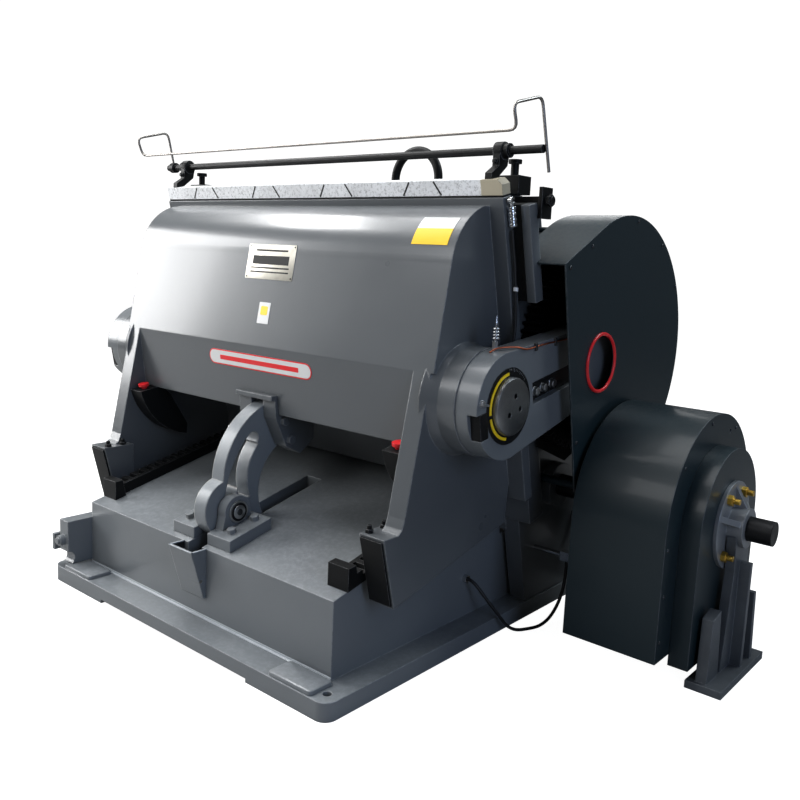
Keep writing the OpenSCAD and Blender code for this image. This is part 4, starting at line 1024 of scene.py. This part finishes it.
def make_dial(side, word):
    """The turned eccentric: its neck, drum, lip and a chamfered cap with three spanner holes."""
    mesh = bmesh.new()
    for start, end, radius in DIAL_STEPS:
        seat = frame_at(at(side * start, BOSS_DEEP, BOSS_HIGH), (side, 0, 0))
        add_drum(mesh, seat, radius, end - start, DIAL_SEGMENTS, bevel=1)
    turned = set(mesh.faces)
    foot = ARM_OUT - DIAL_SINK
    outline = frame_at(at(side * foot, BOSS_DEEP, BOSS_HIGH), (side, 0, 0))
    loops = add_circle(mesh, outline, DIAL_RADIUS, DIAL_SEGMENTS)
    for angle in SPANNER_ANGLES:
        hole = frame_at(about_boss(side, SPANNER_REACH, angle, foot), (side, 0, 0))
        loops += add_circle(mesh, hole, SPANNER_RADIUS, SPANNER_SEGMENTS)
    bmesh.ops.triangle_fill(mesh, edges=loops, use_beauty=True)
    cap = [face for face in mesh.faces if face not in turned]
    extrude(mesh, cap, Vector((side * (DIAL_OUT - foot) * MM, 0, 0)))
    centre = at(side * DIAL_OUT, BOSS_DEEP, BOSS_HIGH)
    rim = [
        edge
        for edge in mesh.edges
        if all(
            abs(vert.co.x - centre.x) < TOUCHING and (vert.co - centre).length > (DIAL_RADIUS - 1) * MM
            for vert in edge.verts
        )
    ]
    bevel_edges(mesh, rim, DIAL_CHAMFER)
    disc = finish_piece("dial_disc_" + word, mesh, "dial_" + word, "dial_metal")
    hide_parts("dial_" + word)


def add_arc(mesh, side, inner, outer, start, end, x, thick):
    """A flat band round the boss, raised from the arm's face."""
    edge = mesh.edges.new([mesh.verts.new(about_boss(side, radius, start, x)) for radius in (inner, outer)])
    bmesh.ops.spin(
        mesh, geom=[edge], cent=at(0, BOSS_DEEP, BOSS_HIGH), axis=(1, 0, 0),
        angle=math.radians(end - start), steps=max(ARC_FEWEST_STEPS, int((end - start) / ARC_STEP)),
        use_merge=end - start == FULL_TURN,
    )
    band = [
        face
        for face in mesh.faces
        if all(abs(vert.co.x - side * x * MM) < TOUCHING for vert in face.verts) and not face.tag
    ]
    extrude(mesh, band, Vector((side * thick * MM, 0, 0)))
    for face in mesh.faces:
        face.tag = True


def make_dial_seat(side, word):
    """A black seat all the way round the dial."""
    seat = bmesh.new()
    add_arc(
        seat, side, DIAL_RADIUS - 1, SEAT_RADIUS, 0, FULL_TURN, ARM_OUT + SEAT_LIFT, SEAT_THICK
    )
    finish_piece("dial_seat_" + word, seat, "arm_" + word, "black_paint")


def make_scale(side, word):
    """The yellow split ring and its graduations."""
    ring = bmesh.new()
    for start, end in SCALE_ARCS:
        add_arc(ring, side, SCALE_INNER, SCALE_OUTER, start, end, ARM_OUT + SCALE_LIFT, SCALE_THICK)
    scale = finish_piece("dial_ring_" + word, ring, "arm_" + word, "yellow_plastic")
    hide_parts("scale_" + word)
    ticks = bmesh.new()
    for index in range(TICKS):
        inner = TICK_SHORT_INNER if index % TICK_LONG_EVERY else TICK_LONG_INNER
        angle = TICK_START + index * TICK_PITCH
        add_arc(
            ticks, side, inner, TICK_OUTER, angle, angle + TICK_WIDE, ARM_OUT + TICK_LIFT, TICK_THICK
        )
    finish_piece("dial_ticks_" + word, ticks, "arm_" + word, "steel")


def make_pointer(side, word):
    """The scale's pointer and the bolt that holds it."""
    pointer = bmesh.new()
    add_bolt(
        pointer, about_boss(side, *POINTER_BOLT_PLACE, ARM_OUT), (side, 0, 0), POINTER_BOLT_ACROSS
    )
    foot = frame_at(about_boss(side, *POINTER_PLACE, ARM_OUT), (side, 0, 0))
    turn = Matrix.Rotation(math.radians(POINTER_TURN * side), 4, "Z")
    add_slab(pointer, foot @ turn, *POINTER_SIZE, corner=1)
    finish_piece("dial_pointer_" + word, pointer, "arm_" + word, "steel")


# ---------- locks and oil pipes on the side arms ----------
LOCK_REACH, LOCK_RISE = -123, -23
LOCK_FOOT = ARM_OUT - 32
LOCK_SIZE = (36, 77, 33)
CHANNEL_REACH = 265
CHANNEL_FOOT = ARM_OUT - 22
CHANNEL_SIZE = (266, 52, 12)
LOCK_BOLTS = (152, 196, 246)
LOCK_BOLT_FOOT = ARM_OUT - 10
LOCK_BOLT_ACROSS = 22
PIPE_RADIUS = 0.0026  # metres
PIPE_STEPS = 5
# reach along the arm, rise above its middle, and distance out from its face
PIPE_ROUTE = (
    (-16, 156, -45), (12, 161, -39), (40, 160, -22), (66, 155, -2), (84, 147, 3.5),
    (112, 140, 3.5), (190, 134, 3.2), (300, 121, 3.2), (420, 106, 3.2),
)
PIPE_CLIPS = ((150, 137), (260, 126), (380, 111))
PIPE_CLIP_SIZE = (10, 24, 6.6)


def make_lock(side, word):
    """The lock block in the arm's notch, and the channel's plate with its bolts."""
    block = bmesh.new()
    add_slab(block, arm_frame(side, LOCK_REACH, LOCK_RISE, LOCK_FOOT), *LOCK_SIZE, corner=3, rim=2)
    add_slab(block, arm_frame(side, CHANNEL_REACH, 0, CHANNEL_FOOT), *CHANNEL_SIZE, corner=4, rim=1)
    lock = finish_piece("arm_lock_" + word, block, "arm_" + word, "black_paint")
    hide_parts("arm_clamps_" + word)
    bolts = bmesh.new()
    for reach in LOCK_BOLTS:
        add_bolt(bolts, along_arm(side, reach, 0, LOCK_BOLT_FOOT), (side, 0, 0), LOCK_BOLT_ACROSS)
    finish_piece("arm_lock_bolts_" + word, bolts, "arm_" + word, "steel")


def make_oil_pipe(side, word):
    """A bent copper pipe from the oiler, over the arm's edge and along its face, with its clips."""
    points = [along_arm(side, reach, rise, ARM_OUT + out) for reach, rise, out in PIPE_ROUTE]
    route = smooth_route(points, PIPE_STEPS)
    make_tube("oil_pipe_" + word, route, PIPE_RADIUS, "arm_" + word, "copper")
    clips = bmesh.new()
    for reach, rise in PIPE_CLIPS:
        add_slab(clips, arm_frame(side, reach, rise, ARM_OUT), *PIPE_CLIP_SIZE, corner=2, rim=1)
    finish_piece("pipe_clips_" + word, clips, "arm_" + word, "dark_steel")


def make_arm_fittings():
    """All that each side arm carries."""
    for side, word in SIDES:
        make_dial(side, word)
        make_dial_seat(side, word)
        make_scale(side, word)
        make_pointer(side, word)
        make_lock(side, word)
        make_oil_pipe(side, word)


# ---------- the base's cast edges ----------
POCKET_FRONT, STEP_IN = span("arm_pocket", DEEP)
STEP_HALF = -span("stop_bracket", X)[1]
FLANGE_HIGH = span("bed_frame", HIGH)[0]
FILLET = 9
PAD_X = 566
PAD_DEEP = 51
PAD_SIZE = (176, 92, 14.5)


def make_step_fillet():
    """The cast fillet where the step meets the flange, coloured light as a painted highlight along the
    joint.
    """
    fillet = bmesh.new()
    outline = (
        (STEP_IN + 1, FLANGE_HIGH - 1), (STEP_IN - FILLET, FLANGE_HIGH - 1),
        (STEP_IN - FILLET, FLANGE_HIGH + 1.5), (STEP_IN - 3, FLANGE_HIGH + 4),
        (STEP_IN - 1.5, FLANGE_HIGH + FILLET), (STEP_IN + 1, FLANGE_HIGH + FILLET),
    )
    add_profile(fillet, outline, -STEP_HALF, STEP_HALF)
    # coloured light as a painted highlight
    finish_piece("step_fillet", fillet, "frame", "bright_edge")


def make_corner_pads():
    """The raised pads at the base's front corners."""
    pads = bmesh.new()
    for side in (-1, 1):
        place = Matrix.Translation(at(side * PAD_X, PAD_DEEP, FLANGE_HIGH - 1))
        add_slab(pads, place, *PAD_SIZE, corner=12, rim=7)
    finish_piece("corner_pads", pads, "frame", "base_paint")


# ---------- the cam roller's pin and the hopper ----------
PIN_OUT = span("roller_pin", X)[1]
PIN_DEEP, PIN_HIGH = pivot("cam_roller_turn")
# name, radius, how far it stands out, and its finish
PIN_CAPS = (
    ("pin_rings", 31, 2.4, "black_paint"),
    ("pin_centres", 23, 4.6, "steel"),
    ("pin_hubs", 11, 6.4, "dark_steel"),
)
POCKET_HALF = span("arm_pocket", X)[1]
POCKET_TOP = span("arm_pocket", HIGH)[1]
RIM_WIDE = 7
RIM_TALL = 2.5
# the hopper's near-black sheets are painted shade inside the pocket
SHADE_SHEET_TOP = POCKET_TOP - 2
SHADE_SHEET_LOW = 215
SHADE_SHEET_FRONT = 53.4
SHADE_SHEET_BACK = STEP_IN - 1
SHADE_SHEET_SLANT = 23
SHADE_SHEET_HALF = 54.2


def make_pin_caps():
    """A dark ring and a bright centre on each end of the roller's pin."""
    for name, radius, tall, finish in PIN_CAPS:
        mesh = bmesh.new()
        for side in (-1, 1):
            seat = frame_at(at(side * (PIN_OUT - 0.2), PIN_DEEP, PIN_HIGH), (side, 0, 0))
            add_drum(mesh, seat, radius, tall, 40, bevel=1)
        finish_piece(name, mesh, "frame", finish)


def make_pocket_rim():
    """The hopper's rolled rim, coloured light as a painted highlight round its edge."""
    rim = bmesh.new()
    foot = POCKET_TOP - 0.5
    for side in (-1, 1):
        place = at(side * (POCKET_HALF - 2), (POCKET_FRONT + STEP_IN) / 2, foot)
        add_slab(rim, Matrix.Translation(place), RIM_WIDE, STEP_IN - POCKET_FRONT, RIM_TALL, rim=0.8)
    front = Matrix.Translation(at(0, POCKET_FRONT + 3, foot))
    add_slab(rim, front, 2 * POCKET_HALF + 3, RIM_WIDE, RIM_TALL, rim=0.8)
    # coloured light as a painted highlight
    finish_piece("pocket_rim", rim, "frame", "bright_edge")


def make_pocket_shade_sheets():
    """Near-black sheets of painted shade in the hopper: a thin sheet on each side and one down its slanted
    front.
    """
    shade_sheets = bmesh.new()
    slant = SHADE_SHEET_FRONT + SHADE_SHEET_SLANT
    side_sheet = (
        (SHADE_SHEET_FRONT, SHADE_SHEET_TOP), (SHADE_SHEET_BACK, SHADE_SHEET_TOP), (SHADE_SHEET_BACK, SHADE_SHEET_LOW),
        (slant, SHADE_SHEET_LOW),
    )
    front_sheet = (
        (SHADE_SHEET_FRONT, SHADE_SHEET_TOP), (SHADE_SHEET_FRONT + 0.6, SHADE_SHEET_TOP), (slant + 0.4, SHADE_SHEET_LOW),
        (slant - 0.2, SHADE_SHEET_LOW),
    )
    for side in (-1, 1):
        add_profile(shade_sheets, side_sheet, side * (SHADE_SHEET_HALF + 0.5), side * SHADE_SHEET_HALF)
    add_profile(shade_sheets, front_sheet, -SHADE_SHEET_HALF, SHADE_SHEET_HALF)
    finish_piece("pocket_shade_sheets", shade_sheets, "frame", "felt", smooth=False)


# ---------- painted-shade sheets inside the gear guards, and screws of the gear guards and the flywheel guard ---
# near-black sheets that stand for the shade inside the gear guards: painted shade
GUARD_SHADE_SHEET_X = span("bed_frame", X)[1] + 3.2
GUARD_SHADE_SHEET_THICK = 1.5
GUARD_SHADE_SHEET_OUTLINE = (
    (832, 1150), (832, 1316), (900, 1350), (960, 1378), (1098, 1402), (1380, 1270), (1500, 960),
    (1380, 660), (1110, 560), (911, 640), (911, 1150),
)
GEAR_GUARD_OUT = span("gear_guard_right", X)[1]
GEAR_GUARD_SCREWS = (
    (705, 1235), (830, 1300), (1130, 1390), (1330, 1320), (1470, 1180), (820, 700), (1330, 620),
)
GEAR_SCREW_RADIUS = 6.5
WHEEL_DEEP, WHEEL_HIGH = pivot("flywheel_spin")
WHEEL_GUARD_OUT = span("flywheel_guard", X)[1]
WHEEL_SCREW_REACH = 318
WHEEL_SCREW_ANGLES = range(20, 180, 40)
WHEEL_SCREW_HEIGHTS = (160, 300, 440)
WHEEL_SCREW_RADIUS = 6


def make_guard_shade_sheets():
    """Near-black sheets of painted shade that close each gear guard beside the bed."""
    for side, word in SIDES:
        mesh = bmesh.new()
        inner = side * GUARD_SHADE_SHEET_X
        add_profile(mesh, GUARD_SHADE_SHEET_OUTLINE, inner, inner + side * GUARD_SHADE_SHEET_THICK)
        finish_piece("guard_shade_sheet_" + word, mesh, "frame", "felt", smooth=False)


def make_guard_screws():
    """Domed screws on the right gear guard, and round and down the flywheel guard."""
    heads = bmesh.new()
    for deep, high in GEAR_GUARD_SCREWS:
        add_screw(heads, at(GEAR_GUARD_OUT, deep, high), (1, 0, 0), GEAR_SCREW_RADIUS)
    places = []
    for degrees in WHEEL_SCREW_ANGLES:
        angle = math.radians(degrees)
        reach = WHEEL_SCREW_REACH * math.cos(angle)
        places.append((reach, WHEEL_HIGH + WHEEL_SCREW_REACH * math.sin(angle)))
    for high in WHEEL_SCREW_HEIGHTS:
        places += [(-WHEEL_SCREW_REACH, high), (WHEEL_SCREW_REACH, high)]
    for reach, high in places:
        add_screw(heads, at(WHEEL_GUARD_OUT, WHEEL_DEEP + reach, high), (1, 0, 0), WHEEL_SCREW_RADIUS)
    finish_piece("guard_screws", heads, "frame", "dark_steel")


make_studio()
make_floor()
make_floor_cable()
make_switch_cable()
dress_nodes()
make_labels()
make_bar_marks()
make_rod_brackets()
make_switch()
make_bed_edges()
make_arm_fittings()
make_step_fillet()
make_corner_pads()
make_pin_caps()
make_pocket_rim()
make_pocket_shade_sheets()
make_guard_shade_sheets()
make_guard_screws()
